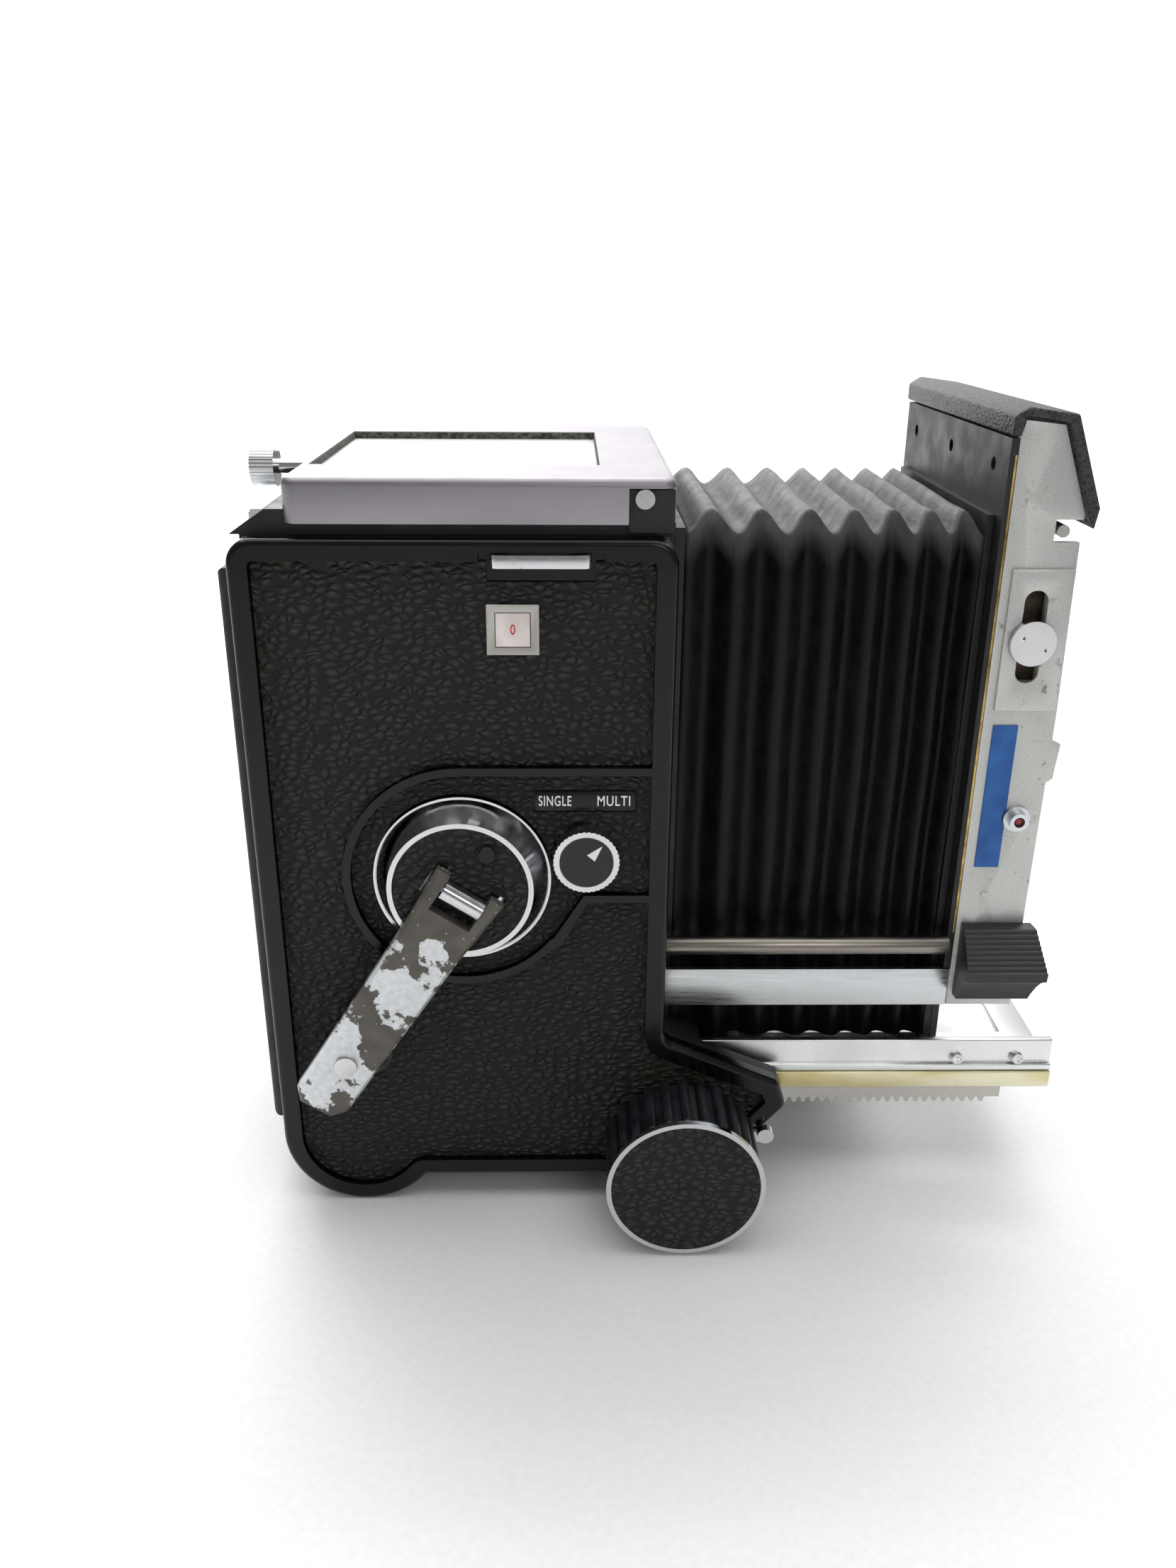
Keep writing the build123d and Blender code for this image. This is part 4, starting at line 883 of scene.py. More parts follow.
def lettering(name, text, height, width, place, material, body):
    """Printed characters of that height and width on a side face, centred on a place, reading
    from the crank side."""
    curve = bpy.data.curves.new(name + "_curve", "FONT")
    curve.body = text
    curve.size = height * MM / CAP_HEIGHT
    curve.align_x = "CENTER"
    curve.align_y = "CENTER"
    curve.offset = 0.012 * height * MM
    curve.space_character = 1.12
    curve.extrude = 0.025 * MM
    writer = bpy.data.objects.new(name + "_writer", curve)
    bpy.context.scene.collection.objects.link(writer)
    bpy.context.view_layer.update()
    shown = writer.evaluated_get(bpy.context.evaluated_depsgraph_get())
    mesh = bmesh.new()
    flat = bpy.data.meshes.new_from_object(shown)
    mesh.from_mesh(flat)
    bpy.data.objects.remove(writer)
    bpy.data.meshes.remove(flat)
    across = [v.co.x for v in mesh.verts]
    squeeze = width * MM / (max(across) - min(across))
    bmesh.ops.scale(mesh, vec=(squeeze, 1.0, 1.0), verts=mesh.verts)
    upright = Matrix.Rotation(math.radians(90), 4, "X")
    bmesh.ops.transform(mesh, matrix=upright, verts=mesh.verts)
    bmesh.ops.translate(mesh, vec=Vector(place) * MM, verts=mesh.verts)
    return finish_piece(name, mesh, material, body)


# ------------------------------------------------------------------ settings
class ReflexBellowsSettings(bpy.types.PropertyGroup):
    """Sizes of the pleated bellows."""

    folds: bpy.props.IntProperty(
        name="Folds", description="Number of outward pleats", default=7, min=3, max=16
    )
    depth: bpy.props.FloatProperty(
        name="Fold Depth",
        description="How far a crease lies inside the neighbouring ridge",
        default=3.9 * MM,
        min=1 * MM,
        max=6 * MM,
        unit="LENGTH",
        precision=4,
    )
    spread: bpy.props.FloatProperty(
        name="Spread",
        description="How much wider the folds are at the body than at the front",
        default=0.3,
        min=0.0,
        max=0.6,
        subtype="FACTOR",
    )
    thickness: bpy.props.FloatProperty(
        name="Leather Thickness",
        description="Thickness of the folded leather",
        default=0.8 * MM,
        min=0.3 * MM,
        max=2 * MM,
        unit="LENGTH",
        precision=4,
    )


class ReflexKnobSettings(bpy.types.PropertyGroup):
    """Sizes of the focusing knobs' grip."""

    ribs: bpy.props.IntProperty(
        name="Ribs", description="Number of ribs round a knob", default=26, min=12, max=48
    )
    rib_width: bpy.props.FloatProperty(
        name="Rib Width",
        description="Width of one rib",
        default=2.1 * MM,
        min=1 * MM,
        max=3 * MM,
        unit="LENGTH",
        precision=4,
    )


class ReflexPrintSettings(bpy.types.PropertyGroup):
    """Colours of the printed marks."""

    numeral_colour: bpy.props.FloatVectorProperty(
        name="Numeral Colour",
        description="Ink of the counter's numeral",
        default=linear("#c8322c"),
        subtype="COLOR",
        min=0.0,
        max=1.0,
    )
    mark_colour: bpy.props.FloatVectorProperty(
        name="Mark Colour",
        description="Ink of the words and the pointer",
        default=linear("#f1f1ee"),
        subtype="COLOR",
        min=0.0,
        max=1.0,
    )


class ReflexStageSettings(bpy.types.PropertyGroup):
    """Light of the plain studio."""

    sky: bpy.props.FloatProperty(
        name="Sky", description="Strength of the even white light", default=0.26, min=0.0, max=4.0
    )
    key: bpy.props.FloatProperty(
        name="Key Light",
        description="Power of the large overhead light",
        default=12.0,
        min=0.0,
        max=60.0,
        unit="POWER",
    )


# ------------------------------------------------------------------ pieces
class ReflexFinishParts(bpy.types.Operator):
    """Give every CAD part its finish"""

    bl_idname = "reflex_body.finish_parts"
    bl_label = "Finish CAD Parts"

    def execute(self, context):
        matt = cast_black()
        enamel = black_enamel()
        cloth = pebbled_cloth(
            "grained_leathercloth",
            ((0, -CLOTH_END, 1), (0, CLOTH_END, -1), (2, CLOTH_TOP, -1)),
        )
        plain_cloth = pebbled_cloth("grained_leathercloth_trim")
        satin = satin_chrome()
        bright = bright_chrome()
        steel = turned_steel()
        plastic = black_phenolic()
        finishes = {
            "black_casting": matt,
            "black_enamel": enamel,
            "black_leather": cloth,
            "satin_chrome": satin,
            "bright_chrome": bright,
            "steel": steel,
            "brass": worn_nickel_rail(),
            "silver_mirror": mirror_silver(),
            "ground_glass": ground_glass(),
            "black_plastic": plastic,
            "worn_paint": matt,
            "bellows_leather": matt,
            "blue_label": blue_anodised(),
            "crinkle_black": crinkle_lacquer(),
            "dial_white": milky_window(),
        }
        for node in frame["nodes"]:
            dress(node, finishes[slot_of(node)])
        for node in ("knob_leathers", "crank_disc", "back_leather"):
            dress(node, plain_cloth)
        return {"FINISHED"}


class ReflexEaseParts(bpy.types.Operator):
    """Break the sharp corners of the plated, painted and moulded parts"""

    bl_idname = "reflex_body.ease_parts"
    bl_label = "Ease Corners"

    def execute(self, context):
        nodes = frame["nodes"]
        lacquer = silver_lacquer()
        pale = satin_chrome("satin_chrome_bright", "#dcdddd", 0.28)
        own = {n: nodes[n].data.materials[0] for n in nodes}
        eased = (
            ("top_cap", own["top_cap"], 0.45, 2),
            ("strap_lugs", own["strap_lugs"], 0.4, 2),
            ("blue_plate", own["blue_plate"], 0.12, 1),
            ("bed_rails", own["bed_rails"], 0.2, 2),
            ("guide_bars", guide_steel(), 0.2, 2),
            ("label_plate", own["label_plate"], 0.2, 2),
            ("bed_tray", pale, 0.25, 2),
            ("slide_plate", lacquer, 0.2, 2),
            # A darker copy of the satin chrome: painted shade that holds down the bezel's reflection of the
            # bright floor.
            ("counter_bezel", satin_chrome("satin_chrome_bezel_shaded", "#b7b3ae", 0.36), 0.1, 1),
            # A darker, pinkish-grey copy of the satin chrome: painted shade that holds the finder down
            # under the overhead light.
            ("finder_frame", satin_chrome("satin_chrome_finder_shaded", "#99959a", 0.42), 0.2, 2),
            ("standard_frame", lacquer, 0.25, 2),
        )
        for node, material, radius, segments in eased:
            eased_copy(node, material, radius, segments)
        return {"FINISHED"}


class ReflexAddBellows(bpy.types.Operator):
    """Build the pleated leather bellows between the body and the front standard"""

    bl_idname = "reflex_body.add_bellows"
    bl_label = "Add Bellows"

    def execute(self, context):
        settings = context.scene.reflex_bellows
        low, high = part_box("bellows")
        ridge_y = high.y - 0.2 * MM
        ridge_low, ridge_high = low.z + 0.2 * MM, high.z - 0.2 * MM
        depth = settings.depth
        steps = 10
        mesh = bmesh.new()
        bloom = mesh.verts.layers.float.new("bloom")
        bmesh.ops.create_circle(mesh, cap_ends=False, radius=ridge_y, segments=4)
        square = Matrix.Rotation(math.pi / 2, 4, "Y") @ Matrix.Rotation(math.pi / 4, 4, "Z")
        bmesh.ops.transform(mesh, matrix=square, verts=mesh.verts)
        middle = (ridge_low + ridge_high) / 2
        bmesh.ops.translate(mesh, vec=(low.x, 0, middle), verts=mesh.verts)
        ring, edges = mesh.verts[:], mesh.edges[:]
        turns = settings.folds * steps
        run = high.x - low.x
        for i in range(turns + 1):
            if i:
                made = bmesh.ops.extrude_edge_only(mesh, edges=edges)["geom"]
                ring = [g for g in made if isinstance(g, bmesh.types.BMVert)]
                edges = [e for e in mesh.edges if e.verts[0] in ring and e.verts[1] in ring]
            share = i / turns
            x = low.x + run * (share + settings.spread * share * (1 - share))
            wave = 0.5 - 0.5 * math.cos(2 * math.pi * i / steps)
            half = ridge_y - depth * wave
            sink = depth * 1.1 * (1 - wave)
            for v in ring:
                upper = v.co.z > middle
                v.co = (
                    x, math.copysign(half, v.co.y),
                    ridge_high - sink if upper else ridge_low + 0.3 * sink,
                )
        return self.shape(mesh, bloom, settings)

    def shape(self, mesh, bloom, settings):
        """Divide the walls, let them sag a little, and mark the top 7 mm for the painted grey sheen and
        dust.
        """
        across = [e for e in mesh.edges if abs(e.verts[0].co.x - e.verts[1].co.x) < 1e-7]
        bmesh.ops.subdivide_edges(mesh, edges=across, cuts=15, use_grid_fill=True)
        top = max(v.co.z for v in mesh.verts)
        width = max(v.co.y for v in mesh.verts)
        for v in mesh.verts:
            wobble = noise.noise(Vector((v.co.x * 60, v.co.y * 45, v.co.z * 45)))
            ripple = noise.noise(Vector((v.co.x * 260, v.co.y * 120, v.co.z * 120)))
            v.co.x += 0.45 * MM * wobble
            if abs(v.co.y) < width - 8 * MM:
                v.co.z += (0.35 * wobble + 0.12 * ripple) * MM
            else:
                v.co.y += (0.3 * wobble + 0.12 * ripple) * MM
            # Painted grey sheen, partly dust: strongest at the top of the bellows, none 7 mm below it.
            up = max(0.0, (v.co.z - top + 7 * MM) / (7 * MM))
            v[bloom] = min(0.75, 0.75 * up)
        bmesh.ops.recalc_face_normals(mesh, faces=mesh.faces)
        piece = finish_piece(
            "bellows_leather",
            mesh,
            bellows_leather("bloom"),
            "body",
            ("bellows",),
            180.0,
        )
        wall = piece.modifiers.new("leather", "SOLIDIFY")
        wall.thickness = settings.thickness
        wall.offset = -1.0
        with bpy.context.temp_override(object=piece, active_object=piece):
            bpy.ops.object.modifier_apply(modifier=wall.name)
        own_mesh(piece)
        return {"FINISHED"}


class ReflexAddKnobGrips(bpy.types.Operator):
    """Build the ribbed grips and plated collars of the two focusing knobs"""

    bl_idname = "reflex_body.add_knob_grips"
    bl_label = "Add Knob Grips"

    def execute(self, context):
        settings = context.scene.reflex_knobs
        low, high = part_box("knob_rings")
        centre = (low + high) / 2
        radius = (high.z - low.z) / 2
        inner = KNOB_INNER * MM
        outer = high.y
        ribs = bmesh.new()
        collars = bmesh.new()
        for side in (-1, 1):
            self.spin_profile(
                ribs,
                side,
                centre,
                (
                    (0.3, inner), (radius / MM - 2.0, inner), (radius / MM - 1.7, inner + 0.4 * MM),
                    (radius / MM - 1.7, outer - 2.3 * MM), (0.3, outer - 2.3 * MM),
                ),
            )
            self.spin_profile(
                collars,
                side,
                centre,
                (
                    (radius / MM - 1.9, outer - 2.6 * MM), (radius / MM - 1.75, outer - 2.6 * MM),
                    (radius / MM - 0.12, outer - 1.25 * MM), (radius / MM - 1.9, outer - 1.25 * MM),
                ),
            )
            for i in range(settings.ribs):
                self.rib(ribs, side, centre, radius, inner, outer, settings.rib_width, i / settings.ribs)
        finish_piece("knob_ribs", ribs, black_phenolic(), "focus_drive", ("knob_grips",))
        finish_piece("knob_collars", collars, bright_chrome(), "focus_drive")
        return {"FINISHED"}

    def spin_profile(self, mesh, side, centre, profile):
        """Turn a closed profile of (radius in mm, width in m) round the shaft."""
        points = [mesh.verts.new((centre.x + r * MM, side * y, centre.z)) for r, y in profile]
        edges = [mesh.edges.new((a, b)) for a, b in zip(points, points[1:] + points[:1])]
        bmesh.ops.spin(
            mesh,
            geom=points + edges,
            cent=(centre.x, 0, centre.z),
            axis=(0, 1, 0),
            dvec=(0, 0, 0),
            angle=math.tau,
            steps=72,
            use_merge=True,
            use_duplicate=False,
        )

    def rib(self, mesh, side, centre, radius, inner, outer, width, share):
        """One round-ended rib lying along the knob."""
        length = outer - 1.35 * MM - inner
        start = len(mesh.verts)
        made = bmesh.ops.create_cube(mesh, size=1.0)["verts"]
        bmesh.ops.scale(mesh, vec=(width, length, 2.4 * MM), verts=made)
        edges = list({e for v in made for e in v.link_edges})
        bmesh.ops.bevel(
            mesh,
            geom=edges,
            offset=0.85 * MM,
            segments=3,
            profile=0.5,
            affect="EDGES",
            clamp_overlap=True,
            material=-1,
        )
        mesh.verts.ensure_lookup_table()
        rib = mesh.verts[start:]
        bmesh.ops.translate(mesh, vec=(0, side * (inner + length / 2), radius - 1.42 * MM), verts=rib)
        turn = Matrix.Rotation(share * math.tau, 4, "Y")
        bmesh.ops.transform(mesh, matrix=turn, verts=rib)
        bmesh.ops.translate(mesh, vec=(centre.x, 0, centre.z), verts=rib)


class ReflexAddCrankArm(bpy.types.Operator):
    """Build the crank arm with softened corners and worn paint"""

    bl_idname = "reflex_body.add_crank_arm"
    bl_label = "Add Crank Arm"

    def execute(self, context):
        fold = next(j for j in frame["joints"] if j["name"] == "crank_fold")
        hinge = fold["pos_m"]
        axis = fold["axis"]
        turn = math.pi / 2 + math.atan2(axis[2], -axis[0])
        eased_copy("crank_arm", worn_arm_paint(hinge, turn), 0.25, 2)
        barrel = satin_chrome("satin_chrome_barrel", "#cfcfcd", 0.24)
        eased_copy("crank_pins", barrel, 0.15, 2)
        return {"FINISHED"}


class ReflexAddTrigger(bpy.types.Operator):
    """Build the ribbed release lever"""

    bl_idname = "reflex_body.add_trigger"
    bl_label = "Add Release Lever"

    def execute(self, context):
        low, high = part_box("release_trigger")
        face = high.y
        crest_z = low.z + 0.5 * (high.z - low.z)
        mesh = bmesh.new()
        outline = [(face, high.z - 0.3 * MM)]
        upper = 34
        for i in range(upper + 1):
            t = i / upper
            y = face - 2.2 * MM - (face - 2.2 * MM - low.y - 0.25 * MM) * t
            z = high.z - 0.6 * MM - (high.z - crest_z - 1.4 * MM) * t
            ridge = 0.24 * MM * abs(math.sin(math.pi * 8.5 * t))
            outline.append((y - 0.75 * ridge, z + 0.6 * ridge))
        lower = 44
        for i in range(lower + 1):
            t = i / lower
            swing = t ** 0.62
            y = low.y + 0.2 * MM + (face - 3.0 * MM - low.y) * swing
            z = crest_z - 1.0 * MM - (crest_z - low.z - 1.6 * MM) * t
            ridge = 0.16 * MM * abs(math.sin(math.pi * 11 * t))
            outline.append((y - ridge, z))
        outline.append((face, low.z + 0.3 * MM))
        points = [mesh.verts.new((low.x, y, z)) for y, z in outline]
        start = mesh.faces.new(points)
        grown = bmesh.ops.extrude_face_region(mesh, geom=[start])["geom"]
        far = [g for g in grown if isinstance(g, bmesh.types.BMVert)]
        span_x = high.x - low.x
        for v in far:
            reach = (face - v.co.y) / (face - low.y)
            v.co.x += span_x - 2.0 * MM * (1 - reach)
        finish_piece(
            "trigger_ribbed",
            mesh,
            black_phenolic(),
            "trigger",
            ("release_trigger",),
            50.0,
        )
        return {"FINISHED"}


class ReflexAddCounter(bpy.types.Operator):
    """Build the counter window with its numeral"""

    bl_idname = "reflex_body.add_counter"
    bl_label = "Add Counter Window"

    def execute(self, context):
        prints = context.scene.reflex_prints
        low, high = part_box("counter_bezel")
        centre = (low + high) / 2 / MM
        front = low.y / MM
        half = 3.25
        pane = box_bmesh(
            (centre.x - half, front + 0.1, centre.z - half),
            (centre.x + half, front + 0.2, centre.z + half),
            0.03,
        )
        finish_piece("counter_pane", pane, milky_window(), "body")
        # A thin black ring round the pane: partly its dark edge, partly painted shadow of the bezel's
        # recess.
        gasket = bmesh.new()
        bmesh.ops.create_grid(gasket, x_segments=1, y_segments=1, size=(half + 0.15) * MM)
        made = bmesh.ops.inset_region(gasket, faces=gasket.faces[:], thickness=0.3 * MM, use_boundary=True)
        bmesh.ops.delete(gasket, geom=[f for f in gasket.faces if f not in made["faces"]], context="FACES")
        bmesh.ops.solidify(gasket, geom=gasket.faces[:], thickness=0.05 * MM)
        bmesh.ops.transform(gasket, matrix=Matrix.Rotation(math.pi / 2, 4, "X"), verts=gasket.verts)
        bmesh.ops.translate(gasket, vec=Vector((centre.x, front + 0.06, centre.z)) * MM, verts=gasket.verts)
        finish_piece("counter_rim_and_shadow", gasket, printed("black_rim_and_shadow", "#141414"), "body")
        red = printed("red_numeral_ink", "#c8322c")
        red.node_tree.nodes["Principled BSDF"].inputs["Base Color"].default_value = (
            *prints.numeral_colour, 1.0,
        )
        place = (centre.x, front + 0.08, centre.z)
        lettering("counter_numeral", "0", 1.9, 0.95, place, red, "body")
        return {"FINISHED"}


class ReflexAddMarks(bpy.types.Operator):
    """Print the selector's words and its pointer"""

    bl_idname = "reflex_body.add_marks"
    bl_label = "Add Selector Marks"

    def execute(self, context):
        white = printed("white_mark_ink", "#f1f1ee")
        colour = context.scene.reflex_prints.mark_colour
        white.node_tree.nodes["Principled BSDF"].inputs["Base Color"].default_value = (*colour, 1.0)
        low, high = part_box("label_plate")
        centre = (low + high) / 2 / MM
        face = low.y / MM - 0.02
        for word, shift in (("SINGLE", -5.85), ("MULTI", 5.65)):
            place = (centre.x + shift, face, centre.z)
            lettering("word_" + word.lower(), word, 2.1, 6.4, place, white, "body")
        self.pointer(white)
        return {"FINISHED"}

    def pointer(self, ink):
        """The selector's black face and its white triangle."""
        low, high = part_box("selector_knob")
        centre = (low + high) / 2
        face = bmesh.new()
        bmesh.ops.create_cone(
            face, cap_ends=True, segments=64, radius1=5.3 * MM, radius2=5.3 * MM, depth=0.08 * MM
        )
        bmesh.ops.transform(face, matrix=Matrix.Rotation(math.pi / 2, 4, "X"), verts=face.verts)
        front = low.y - 0.01 * MM
        bmesh.ops.translate(face, vec=(centre.x, front, centre.z), verts=face.verts)
        finish_piece(
            "selector_face",
            face,
            printed("satin_black_dial", "#1b1b1c"),
            "selector",
        )
        mark = bmesh.new()
        bmesh.ops.create_cone(
            mark, cap_ends=True, segments=3, radius1=1.6 * MM, radius2=1.6 * MM, depth=0.05 * MM
        )
        tip = max(mark.verts, key=lambda v: v.co.y)
        for v in mark.verts:
            if abs(v.co.y - tip.co.y) < 1e-6:
                v.co.y += 1.1 * MM
            else:
                v.co.x *= 0.74
        bmesh.ops.translate(mark, vec=(0, 2.1 * MM, 0), verts=mark.verts)
        bmesh.ops.transform(mark, matrix=Matrix.Rotation(math.radians(-41), 4, "Z"), verts=mark.verts)
        bmesh.ops.transform(mark, matrix=Matrix.Rotation(math.pi / 2, 4, "X"), verts=mark.verts)
        bmesh.ops.translate(mark, vec=(centre.x, front - 0.06 * MM, centre.z), verts=mark.verts)
        finish_piece("selector_pointer", mark, ink, "selector")


class ReflexAddTrim(bpy.types.Operator):
    """Add the brass edge, the release socket's core and the finder's gasket"""

    bl_idname = "reflex_body.add_trim"
    bl_label = "Add Trim"

    def execute(self, context):
        brass = bare_brass()
        low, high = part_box("rear_plate")
        edge_low = 62.5
        for side, name in ((-1, "edge_strip_right"), (1, "edge_strip_left")):
            inner, outer = sorted((side * (high.y / MM - 0.25), side * (high.y / MM + 0.08)))
            strip = box_bmesh(
                (low.x / MM + 0.95, inner, edge_low), (high.x / MM - 0.1, outer, high.z / MM - 3.0), 0.06
            )
            finish_piece(name, strip, brass, "standard")
        low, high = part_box("cable_socket")
        centre = (low + high) / 2
        core = bmesh.new()
        bmesh.ops.create_cone(
            core, cap_ends=True, segments=32, radius1=0.85 * MM, radius2=0.6 * MM, depth=0.7 * MM
        )
        bmesh.ops.transform(core, matrix=Matrix.Rotation(math.pi / 2, 4, "X"), verts=core.verts)
        bmesh.ops.translate(core, vec=(centre.x, low.y + 0.8 * MM, centre.z), verts=core.verts)
        finish_piece(
            "socket_core",
            core,
            printed("red_core_lacquer", "#9c2a2c"),
            "standard",
        )
        self.finder_gasket()
        self.slot_backing()
        self.crank_button()
        return {"FINISHED"}

    def slot_backing(self):
        """Dark brown plate behind the cocking slot: painted shade, so that the inside of the slot reads
        dark.
        """
        low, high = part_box("slide_plate")
        inner = high.y / MM + 2.0
        plate = box_bmesh(
            (low.x / MM + 0.5, inner, low.z / MM + 4),
            (high.x / MM - 2.5, inner + 0.3, high.z / MM - 2),
            0.05,
        )
        # Dark brown plate: painted shade for the inside of the cocking slot.
        slot_shade, tree, shader, place = new_material("slot_shade_plate", "#3a2f26", 0.6, 0.55)
        oil = add_node(tree, "TexNoise", {
            "Scale": per_mm(2.5), "Detail": 4.0, "Vector": place,
        }).outputs["Fac"]
        tree.links.new(
            add_node(tree, "ValToRGB", {
                "stops": [(0.35, "#241d18"), (0.7, "#4a3d30")], "Fac": oil,
            }).outputs["Color"],
            shader.inputs["Base Color"],
        )
        finish_piece("slot_backing", plate, slot_shade, "standard")

    def crank_button(self):
        """Small black unlocking button in the crank's disc."""
        drum_low, drum_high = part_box("crank_drum")
        disc_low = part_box("crank_disc")[0]
        middle = (drum_low + drum_high) / 2
        button = bmesh.new()
        bmesh.ops.create_cone(
            button, cap_ends=True, segments=40, radius1=1.8 * MM, radius2=1.6 * MM, depth=0.3 * MM
        )
        bmesh.ops.transform(button, matrix=Matrix.Rotation(math.pi / 2, 4, "X"), verts=button.verts)
        place = (middle.x + 5.4 * MM, disc_low.y - 0.05 * MM, middle.z + 7.9 * MM)
        bmesh.ops.translate(button, vec=place, verts=button.verts)
        finish_piece("crank_button", button, black_enamel(), "crank")

    def finder_gasket(self):
        """Dark flocked lining round the inside of the focusing window."""
        low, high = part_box("focusing_screen")
        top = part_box("finder_frame")[1].z
        centre = (low + high) / 2
        half = (high.x - low.x) / 2 - 1.85 * MM
        lining = bmesh.new()
        bmesh.ops.create_grid(lining, x_segments=1, y_segments=1, size=half)
        made = bmesh.ops.inset_region(lining, faces=lining.faces[:], thickness=0.22 * MM, use_boundary=True)
        bmesh.ops.delete(lining, geom=[f for f in lining.faces if f not in made["faces"]], context="FACES")
        depth = top - high.z - 0.25 * MM
        bmesh.ops.solidify(lining, geom=lining.faces[:], thickness=depth)
        lowest = min(v.co.z for v in lining.verts)
        bmesh.ops.translate(lining, vec=(centre.x, centre.y, high.z - lowest), verts=lining.verts)
        material, tree, shader, place = new_material("flocked_lining", "#2e3029", 0.0, 0.8)
        mottle = add_node(tree, "TexNoise", {
            "Scale": per_mm(0.9), "Detail": 5.0, "Vector": place,
        }).outputs["Fac"]
        tree.links.new(
            add_node(tree, "ValToRGB", {
                "stops": [(0.35, "#1d1f1b"), (0.7, "#6a6c60")], "Fac": mottle,
            }).outputs["Color"],
            shader.inputs["Base Color"],
        )
        finish_piece("finder_lining", lining, material, "body")


class ReflexAddStage(bpy.types.Operator):
    """Set the plain floor, the soft lights and the camera"""

    bl_idname = "reflex_body.add_stage"
    bl_label = "Add Stage"

    def execute(self, context):
        settings = context.scene.reflex_stage
        self.floor()
        self.lights(settings)
        self.camera()
        return {"FINISHED"}

    def floor(self):
        """Seamless paper under the part, rising behind it."""
        mesh = bmesh.new()
        bmesh.ops.create_grid(mesh, x_segments=1, y_segments=1, size=2.5)
        back = [e for e in mesh.edges if all(v.co.y > 2.0 for v in e.verts)]
        made = bmesh.ops.extrude_edge_only(mesh, edges=back)["geom"]
        raised = [g for g in made if isinstance(g, bmesh.types.BMVert)]
        bmesh.ops.translate(mesh, vec=(0, 0, 3.0), verts=raised)
        bend = [
            e
            for e in mesh.edges
            if all(v.co.y > 2.0 for v in e.verts) and all(abs(v.co.z) < 1e-6 for v in e.verts)
        ]
        bmesh.ops.bevel(
            mesh, geom=bend, offset=1.0, segments=12, profile=0.5, affect="EDGES", material=-1
        )
        for f in mesh.faces:
            f.smooth = True
        data = bpy.data.meshes.new("floor")
        mesh.to_mesh(data)
        mesh.free()
        data.materials.append(floor_paper())
        floor = bpy.data.objects.new("floor", data)
        bpy.context.scene.collection.objects.link(floor)

    def lights(self, settings):
        """Even white surroundings, a large soft light overhead and a weak one in front."""
        world = bpy.data.worlds.new("studio")
        bpy.context.scene.world = world
        world.use_nodes = True
        sky = world.node_tree.nodes["Background"]
        sky.inputs["Color"].default_value = (1.0, 1.0, 1.0, 1.0)
        sky.inputs["Strength"].default_value = settings.sky
        bpy.context.scene.view_settings.view_transform = "Standard"
        for name, place, size, power in (
            ("overhead", (0.05, 0.20, 0.90), 1.5, settings.key),
            ("backdrop", (0.0, 0.9, 1.7), 1.6, settings.key * 5.0),
            ("rear_rim", (-0.30, 0.70, 0.55), 0.5, settings.key * 0.19),
            ("front_fill", (0.30, -0.75, 0.50), 0.35, settings.key * 0.08),
        ):
            lamp = bpy.data.lights.new(name, "AREA")
            lamp.shape = "SQUARE"
            lamp.size = size
            lamp.energy = power
            holder = bpy.data.objects.new(name, lamp)
            bpy.context.scene.collection.objects.link(holder)
            holder.location = place
            target = (0.0, 2.4, 0.5) if name == "backdrop" else (0.03, 0.0, 0.08)
            aim = Vector(target) - Vector(place)
            holder.rotation_mode = "QUATERNION"
            holder.rotation_quaternion = aim.to_track_quat("-Z", "Y")

    def camera(self):
        """A plain camera a little above the crank side."""
        turn, tilt, roll = math.radians(-0.92), math.radians(22.1), math.radians(0.36)
        ahead = Vector((-math.sin(turn) * math.cos(tilt), math.cos(turn) * math.cos(tilt), -math.sin(tilt)))
        level = Vector((math.cos(turn), math.sin(turn), 0.0))
        up = level.cross(ahead)
        right = math.cos(roll) * level + math.sin(roll) * up
        upright = -math.sin(roll) * level + math.cos(roll) * up
        lens = bpy.data.cameras.new("camera")
        lens.lens = 28.48
        lens.sensor_width = 36.0
        lens.clip_start = 0.01
        holder = bpy.data.objects.new("camera", lens)
        bpy.context.scene.collection.objects.link(holder)
        turned = Matrix((right, upright, -ahead)).transposed().to_4x4()
        holder.matrix_world = Matrix.Translation(CAMERA_PLACE) @ turned
        bpy.context.scene.camera = holder


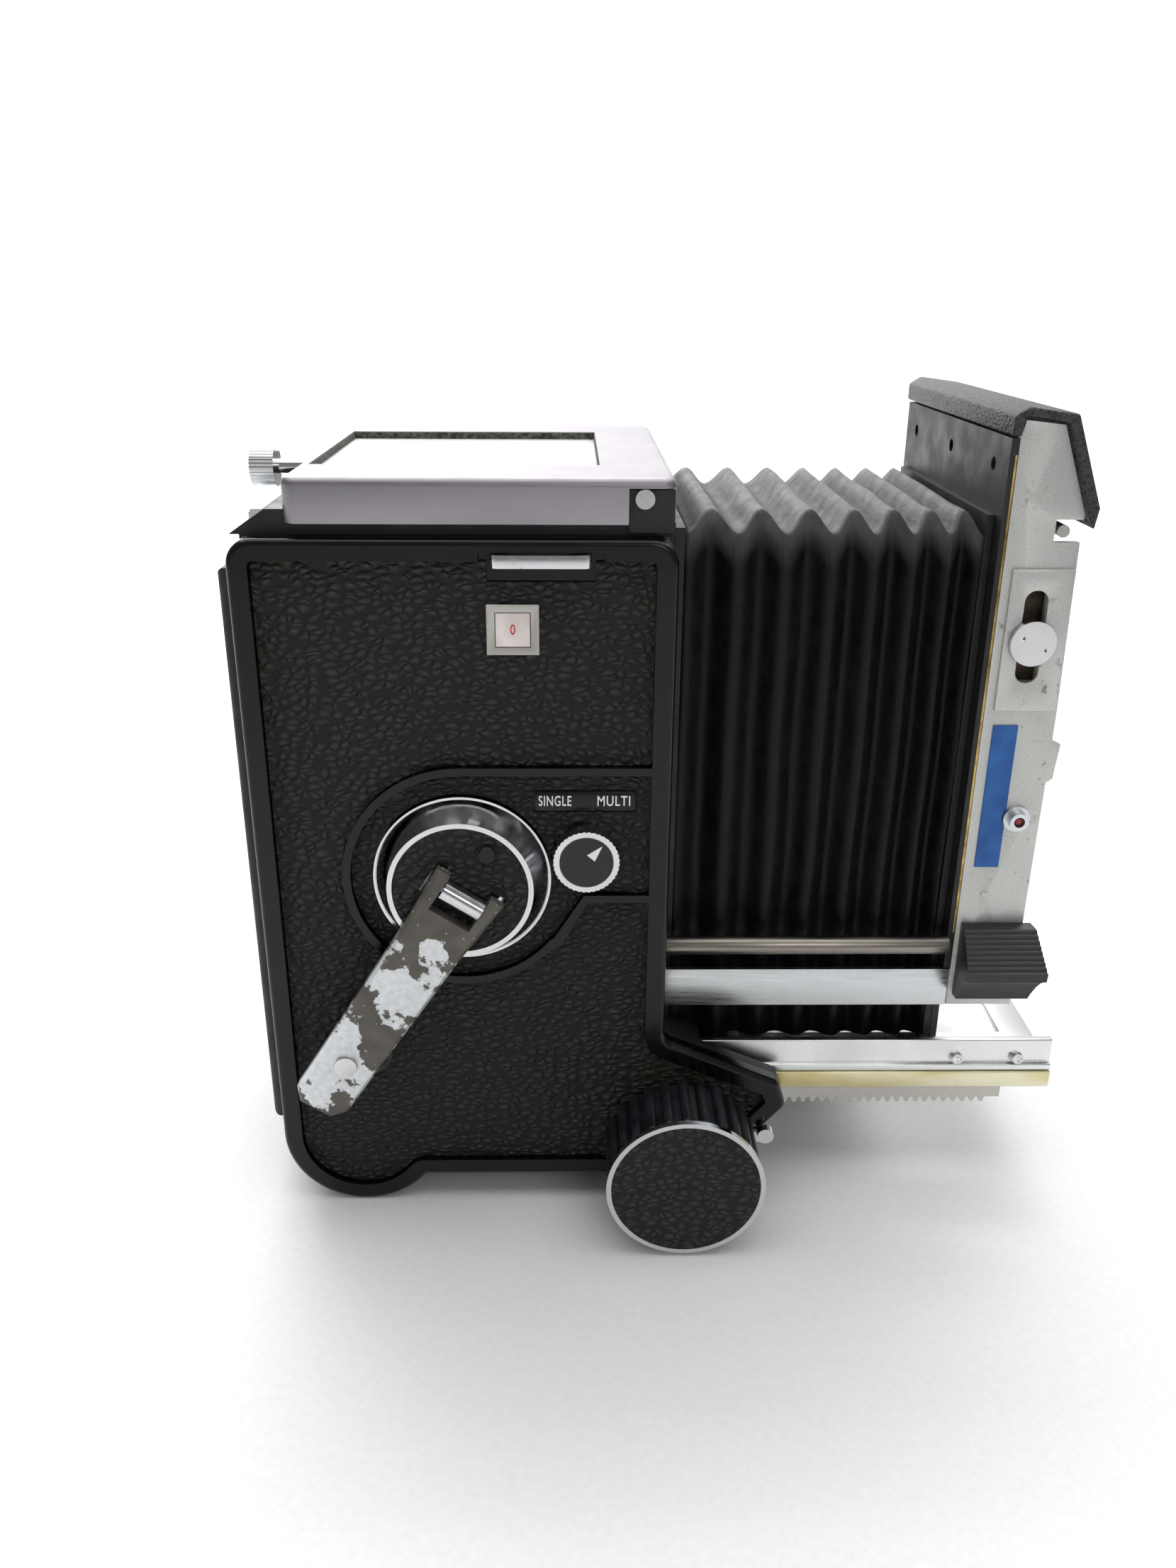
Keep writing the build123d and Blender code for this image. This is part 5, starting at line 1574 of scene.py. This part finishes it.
STEPS = (
    ReflexFinishParts,
    ReflexEaseParts,
    ReflexAddBellows,
    ReflexAddKnobGrips,
    ReflexAddCrankArm,
    ReflexAddTrigger,
    ReflexAddCounter,
    ReflexAddMarks,
    ReflexAddTrim,
    ReflexAddStage,
)


class ReflexPanel(bpy.types.Panel):
    """Lists the pieces and the sizes and colours that can be changed."""

    bl_idname = "VIEW3D_PT_reflex_body"
    bl_label = "Reflex Body"
    bl_space_type = "VIEW_3D"
    bl_region_type = "UI"
    bl_category = "Reflex Body"

    def draw(self, context):
        for step in STEPS:
            self.layout.operator(step.bl_idname)
        for name in ("reflex_bellows", "reflex_knobs", "reflex_prints", "reflex_stage"):
            group = getattr(context.scene, name)
            column = self.layout.column()
            for prop in group.bl_rna.properties:
                if prop.identifier not in ("rna_type", "name"):
                    column.prop(group, prop.identifier)


SETTINGS = (
    ("reflex_bellows", ReflexBellowsSettings),
    ("reflex_knobs", ReflexKnobSettings),
    ("reflex_prints", ReflexPrintSettings),
    ("reflex_stage", ReflexStageSettings),
)


def register():
    """Register the settings, the operators and the panel."""
    for name, group in SETTINGS:
        bpy.utils.register_class(group)
        setattr(bpy.types.Scene, name, bpy.props.PointerProperty(type=group))
    for step in STEPS:
        bpy.utils.register_class(step)
    bpy.utils.register_class(ReflexPanel)


def unregister():
    """Undo register."""
    bpy.utils.unregister_class(ReflexPanel)
    for step in reversed(STEPS):
        bpy.utils.unregister_class(step)
    for name, group in reversed(SETTINGS):
        delattr(bpy.types.Scene, name)
        bpy.utils.unregister_class(group)


def main():
    """Make every piece."""
    register()
    bpy.ops.reflex_body.finish_parts()
    bpy.ops.reflex_body.ease_parts()
    bpy.ops.reflex_body.add_bellows()
    bpy.ops.reflex_body.add_knob_grips()
    bpy.ops.reflex_body.add_crank_arm()
    bpy.ops.reflex_body.add_trigger()
    bpy.ops.reflex_body.add_counter()
    bpy.ops.reflex_body.add_marks()
    bpy.ops.reflex_body.add_trim()
    bpy.ops.reflex_body.add_stage()


if __name__ == "__main__":
    main()
